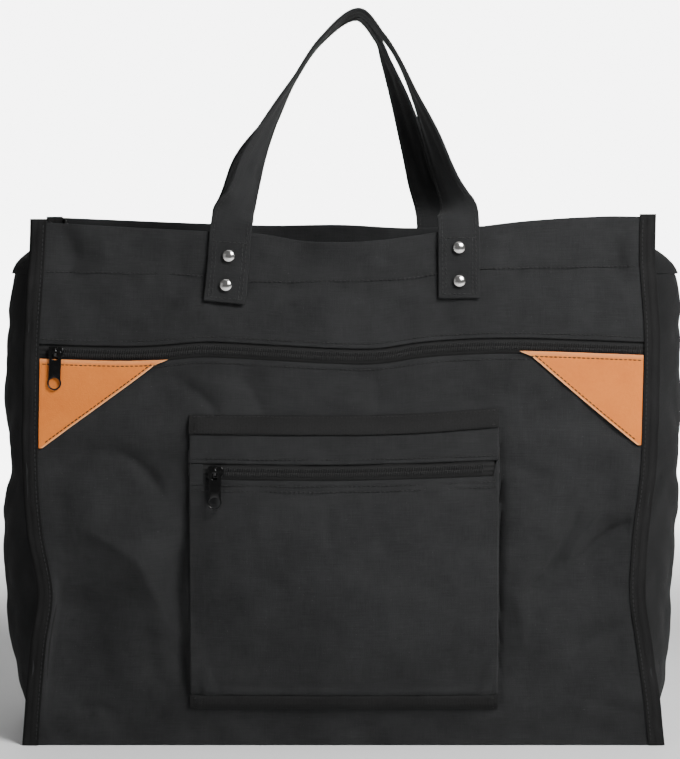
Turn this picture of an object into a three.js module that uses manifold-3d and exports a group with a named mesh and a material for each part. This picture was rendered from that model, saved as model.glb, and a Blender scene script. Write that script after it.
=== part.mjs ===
// Cloth tote bag: a zipped front wall, a zipped patch pocket, leather corner patches, side gussets with
// bound seams, and two riveted strap handles. Millimetres, +Z up, front wall towards -Y, origin on the
// floor under the middle of the base.
import * as THREE from "three";
import { mergeVertices } from "three/addons/utils/BufferGeometryUtils.js";
import Module from "manifold-3d";

const wasm = await Module();
wasm.setup();

// Cloth, tape and leather thicknesses, and the gap kept between neighbouring pieces
const CLOTH = 1.2;
const GUSSET_CLOTH = 1.1;
const TAPE = 1.0;
const LEATHER = 1.5;
const BASE_CLOTH = 2.0;
const GAP = 0.35;
const FLOOR_GAP = 0.4;
const MERGE = 1e-4;

// Seam bindings: how far the fin stands out of the seam, and how far the cloth reaches into it
const FIN = 12;
const FIN_EDGE = 3.5;
const FIN_TOP = { front: 2, back: 0.3 };
const SEAM_BEND = 1.6;

// Hem along the rim
const HEM = 36;
const HEM_CLOTH = 2 * CLOTH + 0.2;
const HEM_STEP = 0.8;

// Zips: half the slot between the cloth edges, the tape behind it and the coil in it
const SLOT = 5.8;
const TAPE_REACH = 12;
const COIL_HALF = 2.7;
const COIL_FRONT = 0.9;

// Slider and its pull
const SLIDER = { length: 11, height: 9.2, corner: 2.2, plate: 1.5, back: 1.1, flange: 1.5, flangeInset: 2.4 };
const NECK = { inset: 0.6, length: 2.6, height: 2.4 };
const BAIL = { width: 2.2, bar: 1.2, half: 4, room: 2.5 };
const PULL = { half: 4.4, endRadius: 5.1, hole: 3.9, drop: 22.2, thick: 1.5, window: 2, windowDrop: 5.6 };
const PULL_TILT = 2;

// Handles and rivets
const STRAP = { width: 30, thick: 2.5, chamfer: 0.6, apexY: 17, freeLean: 0.1 };
const RIVET = { cap: 4.6, dome: 2.4, post: 1.5, backCap: 4.2, backHeight: 1.6, sides: 8 };
const RIVET_HOLE = { radius: 1.9, length: 24 };

// Patch pocket: its outline, how far it stands off the wall, where its zip's slot closes, and its tape bands
const POCKET = {
  left: -108, right: 113.5, bottom: 28,
  side: 5.5, swell: 10, edge: 2.6, fade: 10, corner: 1.5, footGap: 0.8,
};
const POCKET_TOP = [
  { x: -108, z: 242 },
  { x: 0, z: 241.6 },
  { x: 50, z: 242.6 },
  { x: 85, z: 244.8 },
  { x: 113.5, z: 247 },
];
const POCKET_SLOT = { left: -98.5, right: 104.5, ease: 2.5, closed: 0.3 };
const BAND = { top: 13.5, bottom: 11.5, tuck: 6.5, overhang: 0.8, rise: 0.6, turn: 0.2 };

// Leather patches: reach along the zip and down the seam, and the blunt width of the lower tip
const PATCH = { along: 92, down: 64, tip: 2.5, seamGap: 0.9 };

// Outline by height: x of the seam edges, half the depth, how far the front and back walls swell between the
// seams, and x of each gusset half way back
const OUTLINE = [
  { z: 0, left: -231, right: 236, depth: 80, front: 0, back: 0, leftSide: -231, rightSide: 236 },
  { z: 35, left: -228, right: 232, depth: 84, front: 4, back: 4, leftSide: -242, rightSide: 245 },
  { z: 75, left: -224, right: 226, depth: 86, front: 7, back: 6, leftSide: -249, rightSide: 248 },
  { z: 112, left: -219, right: 221, depth: 86, front: 8, back: 7, leftSide: -252, rightSide: 250 },
  { z: 156, left: -226, right: 223, depth: 86, front: 8, back: 8, leftSide: -253, rightSide: 253 },
  { z: 200, left: -229, right: 228, depth: 85, front: 8, back: 8, leftSide: -247, rightSide: 254 },
  { z: 250, left: -229, right: 230, depth: 81, front: 7, back: 7, leftSide: -251, rightSide: 255 },
  { z: 300, left: -228, right: 231, depth: 75, front: 7, back: 6, leftSide: -248, rightSide: 254 },
  { z: 335, left: -226, right: 229, depth: 69, front: 9, back: 6, leftSide: -246, rightSide: 254 },
  { z: 355, left: -225, right: 228, depth: 65, front: 11, back: 6, leftSide: -238, rightSide: 244 },
  { z: 386, left: -224, right: 229, depth: 58.8, front: 15, back: 6, leftSide: -191, rightSide: 196 },
];

// Height of the front and back rims, and of the two zips, across the bag
const FRONT_RIM = [
  { x: -224, z: 379.5 },
  { x: -120, z: 374 },
  { x: -57, z: 371 },
  { x: -22, z: 365.5 },
  { x: 22, z: 366 },
  { x: 69, z: 372 },
  { x: 131, z: 380 },
  { x: 190, z: 383.5 },
  { x: 229, z: 383 },
];
const BACK_RIM = [
  { x: -224, z: 380.5 },
  { x: -60, z: 374 },
  { x: 0, z: 374.5 },
  { x: 55, z: 372 },
  { x: 140, z: 375 },
  { x: 229, z: 380 },
];
const MAIN_ZIP = [
  { x: -229, z: 286.5 },
  { x: -160, z: 284.8 },
  { x: -130, z: 285.6 },
  { x: -98, z: 288.2 },
  { x: -50, z: 286.1 },
  { x: 0, z: 283.6 },
  { x: 28, z: 283.7 },
  { x: 60, z: 288.2 },
  { x: 100, z: 290.6 },
  { x: 140, z: 290.6 },
  { x: 231, z: 287 },
];
const POCKET_ZIP = [
  { x: -110, z: 201.9 },
  { x: 0, z: 201.7 },
  { x: 117, z: 204.3 },
];

// Ridges (rise above 0) and valleys of each wall, from one end to the other, with their half width
const FRONT_FOLDS = [
  { x0: -199, z0: 135, x1: -188, z1: 95, width: 26, rise: -8 },
  { x0: -158, z0: 150, x1: -136, z1: 118, width: 13, rise: 5 },
  { x0: -136, z0: 118, x1: -122, z1: 88, width: 13, rise: 5 },
  { x0: -147, z0: 198, x1: -180, z1: 168, width: 14, rise: 5 },
  { x0: -192, z0: 215, x1: -154, z1: 213, width: 8, rise: -3.5 },
  { x0: -154, z0: 213, x1: -127, z1: 187, width: 8, rise: -4 },
  { x0: -116, z0: 190, x1: -116, z1: 70, width: 9, rise: -6 },
  { x0: 212, z0: 163, x1: 180, z1: 143, width: 8, rise: -4 },
  { x0: 180, z0: 143, x1: 142, z1: 113, width: 9, rise: -4 },
  { x0: 198, z0: 182, x1: 140, z1: 132, width: 12, rise: 4 },
  { x0: 131, z0: 222, x1: 129, z1: 135, width: 18, rise: 4 },
  { x0: 118, z0: 120, x1: 120, z1: 50, width: 7, rise: -3 },
  { x0: 131, z0: 112, x1: 131, z1: 72, width: 8, rise: 3 },
  { x0: 190, z0: 91, x1: 162, z1: 68, width: 11, rise: -3 },
  { x0: 188, z0: 203, x1: 200, z1: 182, width: 12, rise: -3 },
  { x0: -202, z0: 374, x1: -198, z1: 344, width: 10, rise: -4 },
  { x0: 196, z0: 370, x1: 203, z1: 340, width: 10, rise: -4 },
  { x0: -30, z0: 372, x1: 34, z1: 372, width: 16, rise: 3 },
];
const BACK_FOLDS = [
  { x0: -190, z0: 175, x1: -90, z1: 95, width: 20, rise: 5 },
  { x0: -200, z0: 130, x1: -140, z1: 80, width: 22, rise: -6 },
  { x0: 195, z0: 190, x1: 110, z1: 120, width: 16, rise: -5 },
  { x0: 185, z0: 130, x1: 120, z1: 75, width: 20, rise: 5 },
  { x0: -60, z0: 300, x1: 90, z1: 270, width: 24, rise: -5 },
];
const FOLD_FADE = 22;
const FOLD_END = 0.55;

// Strap stations from the left end to the right: place, turn of the width from flat on the wall to edge-on,
// and lean from the wall (0) to the middle of the bag (1). The first and last rows of each lie on the wall.
const FRONT_STRAP = [
  { x: -83, z: 322, turn: 0, lean: 0 },
  { x: -80.5, z: 345, turn: 0, lean: 0 },
  { x: -77.3, z: 381, turn: 0, lean: 0 },
  { x: -71.2, z: 395, turn: 41, lean: 0.1 },
  { x: -62.5, z: 424, turn: 57, lean: 0.32 },
  { x: -49.4, z: 453, turn: 75, lean: 0.54 },
  { x: -33.6, z: 482, turn: 89, lean: 0.76 },
  { x: -13.9, z: 511.5, turn: 88, lean: 0.93 },
  { x: 13.2, z: 531.5, turn: 82, lean: 1 },
  { x: 31.5, z: 514.5, turn: 88, lean: 0.95 },
  { x: 42.8, z: 497, turn: 90, lean: 0.86 },
  { x: 55.2, z: 468, turn: 84, lean: 0.66 },
  { x: 66.7, z: 438, turn: 68, lean: 0.42 },
  { x: 76.4, z: 409.5, turn: 58, lean: 0.2 },
  { x: 82.6, z: 393, turn: 40, lean: 0.07 },
  { x: 84.8, z: 383, turn: 0, lean: 0 },
  { x: 85.5, z: 345, turn: 0, lean: 0 },
  { x: 85.5, z: 325, turn: 0, lean: 0 },
];
const BACK_STRAP = [
  { x: -89, z: 322, turn: 0, lean: 0 },
  { x: -86.5, z: 345, turn: 0, lean: 0 },
  { x: -83.5, z: 381, turn: 0, lean: 0 },
  { x: -80.6, z: 394, turn: 38, lean: 0.1 },
  { x: -71.2, z: 424, turn: 55, lean: 0.32 },
  { x: -52.2, z: 454, turn: 75, lean: 0.54 },
  { x: -34.6, z: 484, turn: 89, lean: 0.76 },
  { x: -14.2, z: 512.5, turn: 88, lean: 0.93 },
  { x: 11.9, z: 530.5, turn: 84, lean: 1 },
  { x: 28.4, z: 513, turn: 86, lean: 0.94 },
  { x: 34.5, z: 498.5, turn: 80, lean: 0.86 },
  { x: 45.2, z: 470, turn: 66, lean: 0.66 },
  { x: 54.7, z: 439, turn: 54, lean: 0.42 },
  { x: 62.7, z: 409, turn: 46, lean: 0.2 },
  { x: 70.2, z: 391, turn: 28, lean: 0.06 },
  { x: 73.5, z: 381, turn: 0, lean: 0 },
  { x: 74.2, z: 345, turn: 0, lean: 0 },
  { x: 74.2, z: 325, turn: 0, lean: 0 },
];
const TAB_ROWS = 3;
const RIVETS = [
  { name: "left_upper", leg: "left", z: 355 },
  { name: "left_lower", leg: "left", z: 334 },
  { name: "right_upper", leg: "right", z: 361 },
  { name: "right_lower", leg: "right", z: 337 },
];

// Zip ends: the tape narrows, then comes forward into the slot, before it runs into the seam
const TAPE_END = [
  { from: -7, half: SLOT - 0.5, depth: 0.1 },
  { from: 1.5, half: SLOT - 0.5, depth: 0.1 },
  { from: 5, half: SLOT - 0.5, depth: CLOTH + GAP },
  { from: 8, half: TAPE_REACH, depth: CLOTH + GAP },
];
const POCKET_TAPE_END = [{ from: 3, half: TAPE_REACH, depth: CLOTH + GAP }];
const TAPE_EVEN = TAPE_REACH + 4;
const COIL_SHORT = { main: 6, pocket: 11 };
const SLIDER_AT = { main: -204, pocket: -88.5 };

// Steps along the faceted surfaces
const STEPS = {
  front: { beside: 6, across: 10 }, back: { beside: 4, across: 6 }, wallZ: 16, backZ: 11, upperZ: 3, hemZ: 2,
  seamZ: 12, gussetY: 8, strap: 19, zip: 16, pocketX: 9, pocketZ: 8, band: 10, patchX: 5, patchZ: 4,
};

// Finishes
function finish(color, roughness, metalness) {
  return new THREE.MeshStandardMaterial({ color, roughness, metalness });
}
const charcoalCloth = finish(0x2d2e2f, 0.85, 0);
const bindingTape = finish(0x232424, 0.85, 0);
const strapCloth = finish(0x2b2c2d, 0.8, 0);
const zipTape = finish(0x202121, 0.85, 0);
const zipCoil = finish(0x1b1b1c, 0.5, 0);
const tanLeather = finish(0xcc8450, 0.6, 0);
const blackMetal = finish(0x141415, 0.35, 0.6);
const nickel = finish(0xb8b8ba, 0.25, 1);

const lerp = THREE.MathUtils.lerp;
const clamp = THREE.MathUtils.clamp;
const radians = THREE.MathUtils.degToRad;
const smooth = (t) => THREE.MathUtils.smoothstep(t, 0, 1);

// A smooth curve through one column of a table, read along another column
function column(rows, along, value) {
  const slope = rows.map((row, i) => {
    const before = rows[Math.max(i - 1, 0)];
    const after = rows[Math.min(i + 1, rows.length - 1)];
    return (after[value] - before[value]) / (after[along] - before[along]);
  });
  return (at) => {
    const t = clamp(at, rows[0][along], rows[rows.length - 1][along]);
    const i = clamp(rows.findIndex((row) => row[along] >= t) - 1, 0, rows.length - 2);
    const span = rows[i + 1][along] - rows[i][along];
    const s = (t - rows[i][along]) / span;
    const rise = s * s * (3 - 2 * s);
    const lead = s * (1 - s) * (1 - s) * span;
    const trail = s * s * (s - 1) * span;
    const level = rows[i][value] + (rows[i + 1][value] - rows[i][value]) * rise;
    return level + slope[i] * lead + slope[i + 1] * trail;
  };
}

const outline = {};
for (const name of Object.keys(OUTLINE[0])) outline[name] = column(OUTLINE, "z", name);
const mainZip = column(MAIN_ZIP, "x", "z");
const pocketZip = column(POCKET_ZIP, "x", "z");
const pocketTop = column(POCKET_TOP, "x", "z");

const leftSeam = (z) => outline.left(z) + FIN;
const rightSeam = (z) => outline.right(z) - FIN;

// How far the folds lift a point: full on their lines, fading at the sides, ends, seams and under the pocket
function foldRise(folds, x, z) {
  const seam = Math.min(x - leftSeam(z), rightSeam(z) - x, z);
  const beside = Math.max(POCKET.left - x, x - POCKET.right, POCKET.bottom - z, z - pocketTop(x));
  let total = 0;
  for (const fold of folds) {
    const dx = fold.x1 - fold.x0;
    const dz = fold.z1 - fold.z0;
    const along = clamp(((x - fold.x0) * dx + (z - fold.z0) * dz) / (dx * dx + dz * dz), 0, 1);
    const away = Math.hypot(x - fold.x0 - along * dx, z - fold.z0 - along * dz);
    const taper = lerp(FOLD_END, 1, Math.sin(Math.PI * along));
    total += fold.rise * taper * Math.exp(-((away / fold.width) ** 2));
  }
  return total * smooth(seam / FOLD_FADE) * smooth(1 + beside / POCKET.fade);
}

// A wall of the bag: its outer face by x and height. The front wall has sign -1 and the back wall +1.
function makeWall(sign, swell, rimRows, folds, strap) {
  const plainY = (x, z) => {
    const middle = (leftSeam(z) + rightSeam(z)) / 2;
    const half = (rightSeam(z) - leftSeam(z)) / 2;
    const arch = Math.max(0, 1 - ((x - middle) / half) ** 2);
    return sign * (outline.depth(z) + swell(z) * arch);
  };
  const y = (x, z) => plainY(x, z) + sign * foldRise(folds, x, z);
  const outward = (x, z) => {
    const d = 2;
    const normal = new THREE.Vector3(-(y(x + d, z) - y(x - d, z)), 2 * d, -(y(x, z + d) - y(x, z - d)));
    return normal.normalize().multiplyScalar(sign);
  };
  return { sign, plainY, y, outward, strap, rim: column(rimRows, "x", "z") };
}

const front = makeWall(-1, outline.front, FRONT_RIM, FRONT_FOLDS, FRONT_STRAP);
const back = makeWall(1, outline.back, BACK_RIM, BACK_FOLDS, BACK_STRAP);

// Geometry from a list of points and triangles, with its faces turned outwards
function closed(points, triangles) {
  let volume = 0;
  for (const [a, b, c] of triangles) {
    volume += points[a].dot(new THREE.Vector3().crossVectors(points[b], points[c]));
  }
  const index = triangles.flatMap(([a, b, c]) => (volume > 0 ? [a, b, c] : [a, c, b]));
  const geometry = new THREE.BufferGeometry();
  geometry.setFromPoints(points);
  geometry.setIndex(index);
  return geometry;
}

// A closed sheet from two faces, each a grid of points given row by row
function sheet(outer, inner) {
  const rows = outer.length;
  const columns = outer[0].length;
  const points = [...outer.flat(), ...inner.flat()];
  const at = (side, r, c) => side * rows * columns + r * columns + c;
  const triangles = [];
  const quad = (a, b, c, d) => triangles.push([a, b, c], [a, c, d]);
  for (let r = 0; r + 1 < rows; r += 1) {
    for (let c = 0; c + 1 < columns; c += 1) {
      quad(at(0, r, c), at(0, r, c + 1), at(0, r + 1, c + 1), at(0, r + 1, c));
      quad(at(1, r, c), at(1, r + 1, c), at(1, r + 1, c + 1), at(1, r, c + 1));
    }
    const last = columns - 1;
    quad(at(0, r, 0), at(0, r + 1, 0), at(1, r + 1, 0), at(1, r, 0));
    quad(at(0, r, last), at(1, r, last), at(1, r + 1, last), at(0, r + 1, last));
  }
  for (let c = 0; c + 1 < columns; c += 1) {
    const last = rows - 1;
    quad(at(0, 0, c), at(1, 0, c), at(1, 0, c + 1), at(0, 0, c + 1));
    quad(at(0, last, c), at(0, last, c + 1), at(1, last, c + 1), at(1, last, c));
  }
  return closed(points, triangles);
}

// A closed body lofted through rings of equal length, with its ends filled
function loft(rings, flatRing) {
  const count = rings[0].length;
  const points = rings.flat();
  const triangles = [];
  for (let r = 0; r + 1 < rings.length; r += 1) {
    for (let i = 0; i < count; i += 1) {
      const j = (i + 1) % count;
      const low = r * count;
      const high = low + count;
      triangles.push([low + i, low + j, high + j], [low + i, high + j, high + i]);
    }
  }
  const top = (rings.length - 1) * count;
  const flipped = THREE.ShapeUtils.isClockWise(flatRing);
  for (const [a, b, c] of THREE.ShapeUtils.triangulateShape(flatRing, [])) {
    const [p, q, r] = flipped ? [a, c, b] : [a, b, c];
    triangles.push([p, r, q], [top + p, top + q, top + r]);
  }
  return closed(points, triangles);
}

function range(count, from = 0, to = 1) {
  return Array.from({ length: count + 1 }, (_, i) => lerp(from, to, i / count));
}

// Booleans on closed geometry
function solid(geometry) {
  const bare = geometry.clone();
  bare.deleteAttribute("normal");
  bare.deleteAttribute("uv");
  const merged = mergeVertices(bare, MERGE);
  const vertProperties = new Float32Array(merged.attributes.position.array);
  const triVerts = new Uint32Array(merged.index.array);
  return new wasm.Manifold(new wasm.Mesh({ numProp: 3, vertProperties, triVerts }));
}
function geometryOf(body) {
  const mesh = body.getMesh();
  const geometry = new THREE.BufferGeometry();
  geometry.setAttribute("position", new THREE.BufferAttribute(new Float32Array(mesh.vertProperties), 3));
  geometry.setIndex([...mesh.triVerts]);
  return geometry;
}
function cut(geometry, tools) {
  let body = solid(geometry);
  for (const tool of tools) body = body.subtract(solid(tool));
  return geometryOf(body);
}
function join(pieces) {
  let body = solid(pieces[0]);
  for (const piece of pieces.slice(1)) body = body.add(solid(piece));
  return geometryOf(body);
}
function box(x, y, z) {
  const size = [x[1] - x[0], y[1] - y[0], z[1] - z[0]];
  const geometry = new THREE.BoxGeometry(...size);
  return geometry.translate((x[0] + x[1]) / 2, (y[0] + y[1]) / 2, (z[0] + z[1]) / 2);
}

const bag = new THREE.Group();
function add(name, geometry, material, parent = bag) {
  const mesh = new THREE.Mesh(geometry, material);
  mesh.name = name;
  parent.add(mesh);
  return mesh;
}

// Columns across a wall along one row of heights: the cloth edge in the fin, even steps from the seam to the
// pocket's side, across the pocket and on to the other seam, and the other edge
function wallColumns(height, steps) {
  const leftZ = height(outline.left(height(0)));
  const rightZ = height(outline.right(height(0)));
  return [
    outline.left(leftZ) + FIN_EDGE,
    ...range(steps.beside, leftSeam(leftZ), POCKET.left),
    ...range(steps.across, POCKET.left, POCKET.right).slice(1),
    ...range(steps.beside, POCKET.right, rightSeam(rightZ)).slice(1),
    outline.right(rightZ) - FIN_EDGE,
  ];
}

// A wall panel from rows of heights, each a function of x with its own cloth thickness. In the seams the
// cloth is a single layer.
function wallPanel(wall, rows, steps) {
  const outer = [];
  const inner = [];
  for (const row of rows) {
    const points = wallColumns(row.height, steps).map((x) => {
      const z = row.height(x);
      return new THREE.Vector3(x, wall.y(x, z), z);
    });
    outer.push(points);
    inner.push(points.map((p, i) => {
      const inSeam = i < 2 || i > points.length - 3;
      return new THREE.Vector3(p.x, p.y - wall.sign * (inSeam ? CLOTH : row.thick), p.z);
    }));
  }
  return sheet(outer, inner);
}
function heightRows(count, low, high, thick) {
  return range(count).map((t) => ({ height: (x) => lerp(low(x), high(x), t), thick }));
}

// Rivets lie on the middle of each strap's tab, and their holes are cut along the wall's own normal
const rivetPlaces = (wall) => RIVETS.map(({ name, leg, z }) => {
  const tab = leg === "left" ? wall.strap.slice(0, TAB_ROWS) : wall.strap.slice(-TAB_ROWS).toReversed();
  const x = column(tab, "z", "x")(z);
  return { name, at: new THREE.Vector3(x, wall.y(x, z), z), outward: wall.outward(x, z) };
});
function standOn(geometry, place) {
  const turn = new THREE.Quaternion().setFromUnitVectors(new THREE.Vector3(0, 1, 0), place.outward);
  return geometry.applyQuaternion(turn).translate(...place.at);
}
function rivetHoles(wall) {
  const radius = RIVET_HOLE.radius;
  return rivetPlaces(wall).map((place) => {
    return standOn(new THREE.CylinderGeometry(radius, radius, RIVET_HOLE.length, RIVET.sides), place);
  });
}

// Front and back walls
const floor = () => FLOOR_GAP;
const hemRows = (wall) => heightRows(
  STEPS.hemZ,
  (x) => wall.rim(x) - HEM + HEM_STEP,
  wall.rim,
  HEM_CLOTH,
);
const underHem = (wall) => (x) => wall.rim(x) - HEM;
const lowerRows = heightRows(STEPS.wallZ, floor, (x) => mainZip(x) - SLOT, CLOTH);
add("front_lower_panel", wallPanel(front, lowerRows, STEPS.front), charcoalCloth);
const upperRows = heightRows(STEPS.upperZ, (x) => mainZip(x) + SLOT, underHem(front), CLOTH);
const upperPanel = wallPanel(front, [...upperRows, ...hemRows(front)], STEPS.front);
add("front_upper_panel", cut(upperPanel, rivetHoles(front)), charcoalCloth);
const backRows = heightRows(STEPS.backZ, floor, underHem(back), CLOTH);
const backPanel = wallPanel(back, [...backRows, ...hemRows(back)], STEPS.back);
add("back_panel", cut(backPanel, rivetHoles(back)), charcoalCloth);

// Heights of the steps up each side seam, closer together towards the rim where the sides fold in
const SEAM_TOP = 379.5;
const SEAM_EASE = 1.3;
const seamLevels = range(STEPS.seamZ).map((v) => lerp(FLOOR_GAP, SEAM_TOP, 1 - (1 - v) ** SEAM_EASE));

// Gussets: a flange in each seam, a bend, and a swelling wall between
const FLANGE_DEPTH = CLOTH + GAP + GUSSET_CLOTH / 2;
const GUSSET_SAG = 6;
const SAG_POWER = 6;
const SWELL_POWER = 1.4;
function gussetLine(hand, z) {
  const edge = hand < 0 ? outline.left(z) : outline.right(z);
  const seam = edge - hand * (FIN + GAP);
  const side = hand < 0 ? outline.leftSide(z) : outline.rightSide(z);
  const flange = outline.depth(z) - FLANGE_DEPTH;
  const root = seam - hand * SEAM_BEND;
  const wallDepth = flange - SEAM_BEND;
  const line = [new THREE.Vector2(edge - hand * FIN_EDGE, -flange), new THREE.Vector2(seam, -flange)];
  for (const t of range(STEPS.gussetY)) {
    const swell = Math.sin(Math.PI * t) ** SWELL_POWER;
    line.push(new THREE.Vector2(lerp(root, side, swell), lerp(-wallDepth, wallDepth, t)));
  }
  line.push(new THREE.Vector2(seam, flange), new THREE.Vector2(edge - hand * FIN_EDGE, flange));
  return line;
}
// The same line moved sideways by half the cloth, along the mean normal of its two neighbouring stretches
function offsetLine(line, distance) {
  return line.map((point, i) => {
    const before = line[Math.max(i - 1, 0)];
    const after = line[Math.min(i + 1, line.length - 1)];
    const into = point.clone().sub(before).normalize();
    const out = after.clone().sub(point).normalize();
    const normal = new THREE.Vector2(into.y + out.y, -into.x - out.x).normalize();
    const length = into.lengthSq() * out.lengthSq() > 0 ? normal.dot(new THREE.Vector2(into.y, -into.x)) : 1;
    return point.clone().addScaledVector(normal, distance / Math.max(length, 0.5));
  });
}
function gusset(hand) {
  const outer = [];
  const inner = [];
  for (const z of seamLevels) {
    const line = gussetLine(hand, z);
    const sag = line.map((_, i) => {
      const across = clamp((i - 2) / (line.length - 5), 0, 1);
      return GUSSET_SAG * (z / SEAM_TOP) ** SAG_POWER * Math.sin(Math.PI * across);
    });
    const lift = (p, i) => new THREE.Vector3(p.x, p.y, z - sag[i]);
    outer.push(offsetLine(line, GUSSET_CLOTH / 2).map(lift));
    inner.push(offsetLine(line, -GUSSET_CLOTH / 2).map(lift));
  }
  return sheet(outer, inner);
}
add("gusset_left", gusset(-1), charcoalCloth);
add("gusset_right", gusset(1), charcoalCloth);

// Base: fills the plan between the walls, inside the gussets
const BASE_INSET = 0.9;
function basePanel() {
  const side = (hand) => {
    const line = gussetLine(hand, BASE_CLOTH).slice(2, -2);
    return line.map((p) => new THREE.Vector2(p.x - hand * (GUSSET_CLOTH / 2 + BASE_INSET), p.y));
  };
  const edge = outline.depth(0) - CLOTH - GAP;
  const left = side(-1);
  const right = side(1);
  const corner = (line, i, y) => new THREE.Vector2(line[i].x, y);
  const last = left.length - 1;
  const plan = [
    corner(left, 0, -edge), corner(right, 0, -edge), ...right,
    corner(right, last, edge), corner(left, last, edge), ...left.reverse(),
  ];
  return new THREE.ExtrudeGeometry(new THREE.Shape(plan), { depth: BASE_CLOTH, bevelEnabled: false });
}
add("base_panel", basePanel(), charcoalCloth);

// Seam bindings: tape folded round the fin, with a slot for the wall cloth and the gusset's flange
function bindingSection() {
  const slot = CLOTH + GUSSET_CLOTH + 3 * GAP;
  return [
    [FIN, -TAPE], [TAPE, -TAPE], [0, 0], [0, slot], [TAPE, slot + TAPE],
    [FIN, slot + TAPE], [FIN, slot], [TAPE, slot], [TAPE, 0], [FIN, 0],
  ].map(([x, y]) => new THREE.Vector2(x, y));
}
function binding(wall, hand) {
  const section = bindingSection();
  const edgeOf = hand < 0 ? outline.left : outline.right;
  const top = wall.rim(edgeOf(wall.rim(0))) + (wall.sign < 0 ? FIN_TOP.front : FIN_TOP.back);
  const rings = [...seamLevels, top].map((z) => section.map((p) => {
    const y = wall.sign * (outline.depth(z) + GAP - p.y);
    return new THREE.Vector3(edgeOf(z) - hand * p.x, y, z);
  }));
  return loft(rings, section);
}
for (const [side, wall] of [["front", front], ["back", back]]) {
  add(`binding_${side}_left`, binding(wall, -1), bindingTape);
  add(`binding_${side}_right`, binding(wall, 1), bindingTape);
}

// Leather corner patches under the long zip
function cornerPatch(hand) {
  const seam = (z) => (hand < 0 ? leftSeam(z) : rightSeam(z)) - hand * PATCH.seamGap;
  const top = (x) => mainZip(x) - SLOT;
  const bottom = top(seam(0)) - PATCH.down;
  const outer = [];
  const inner = [];
  for (const v of range(STEPS.patchZ)) {
    const start = seam(bottom + PATCH.down * v);
    const width = lerp(PATCH.tip, PATCH.along, v);
    const points = range(STEPS.patchX).map((t) => {
      const x = start - hand * width * t;
      const z = lerp(bottom, top(x), v);
      return new THREE.Vector3(x, front.y(x, z) - GAP, z);
    });
    inner.push(points);
    outer.push(points.map((p) => new THREE.Vector3(p.x, p.y - LEATHER, p.z)));
  }
  return sheet(outer, inner);
}
add("corner_patch_left", cornerPatch(-1), tanLeather);
add("corner_patch_right", cornerPatch(1), tanLeather);

// Patch pocket: its face stands off the wall, swells in the middle and turns back to the wall at both sides
function pocketStand(x, z) {
  const across = clamp((2 * x - POCKET.left - POCKET.right) / (POCKET.right - POCKET.left), -1, 1);
  const top = pocketTop(x);
  const up = clamp((2 * z - POCKET.bottom - top) / (top - POCKET.bottom), -1, 1);
  const level = lerp(POCKET.edge, POCKET.side, 1 - up ** 8);
  return level + POCKET.swell * (1 - across ** 2) * (1 - up ** 2);
}
const pocketY = (x, z) => front.plainY(x, z) - pocketStand(x, z);
function pocketLine(height) {
  const foot = (x) => new THREE.Vector2(x, front.y(x, height(x)) - POCKET.footGap);
  const corner = POCKET.corner;
  const across = [
    POCKET.left + corner,
    POCKET_SLOT.left,
    ...range(STEPS.pocketX, POCKET_SLOT.left + POCKET_SLOT.ease, POCKET_SLOT.right - POCKET_SLOT.ease),
    POCKET_SLOT.right,
    POCKET.right - corner,
  ];
  const turn = (x, inset) => new THREE.Vector2(x, pocketY(inset, height(inset)) + corner);
  return [
    foot(POCKET.left),
    turn(POCKET.left, POCKET.left + corner),
    ...across.map((x) => new THREE.Vector2(x, pocketY(x, height(x)))),
    turn(POCKET.right, POCKET.right - corner),
    foot(POCKET.right),
  ];
}
function pocketFace(low, high, count) {
  const outer = [];
  const inner = [];
  for (const t of range(count)) {
    const height = (x) => lerp(low(x), high(x), t);
    const line = pocketLine(height);
    const lift = (p, i) => new THREE.Vector3(p.x, p.y, height(line[i].x));
    outer.push(line.map(lift));
    inner.push(offsetLine(line, -CLOTH).map((p, i) => {
      const isFoot = i === 0 || i === line.length - 1;
      return lift(new THREE.Vector2(p.x, isFoot ? line[i].y : p.y), i);
    }));
  }
  return sheet(outer, inner);
}
const faceBottom = () => POCKET.bottom + BAND.tuck;
const faceTop = (x) => pocketTop(x) - BAND.tuck;
// Half the zip's slot in the pocket, which closes towards both of its ends
function pocketSlot(x) {
  const inside = Math.min(x - POCKET_SLOT.left, POCKET_SLOT.right - x);
  return lerp(POCKET_SLOT.closed, SLOT, smooth(inside / POCKET_SLOT.ease));
}
const lowerFace = pocketFace(faceBottom, (x) => pocketZip(x) - pocketSlot(x), STEPS.pocketZ);
add("pocket_lower_face", lowerFace, charcoalCloth);
add("pocket_upper_face", pocketFace((x) => pocketZip(x) + pocketSlot(x), faceTop, 2), charcoalCloth);

// Tape bands over the pocket's top and bottom edges: from the wall onto the pocket's face, up or down by way
function pocketBand(edge, way, height) {
  const outer = [];
  const inner = [];
  const xs = range(STEPS.band, POCKET.left - BAND.overhang, POCKET.right + BAND.overhang);
  for (const level of [0, BAND.tuck * BAND.rise, lerp(BAND.tuck, height, BAND.turn), height]) {
    const points = xs.map((x) => {
      const z = edge(x) + way * level;
      const standing = level === 0 ? front.plainY(x, z) : pocketY(x, z);
      return new THREE.Vector3(x, Math.min(standing, front.y(x, z)) - GAP, z);
    });
    inner.push(points);
    outer.push(points.map((p) => new THREE.Vector3(p.x, p.y - TAPE, p.z)));
  }
  return sheet(outer, inner);
}
add("pocket_top_band", pocketBand(pocketTop, -1, BAND.top), bindingTape);
add("pocket_bottom_band", pocketBand(() => POCKET.bottom, 1, BAND.bottom), bindingTape);

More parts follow.
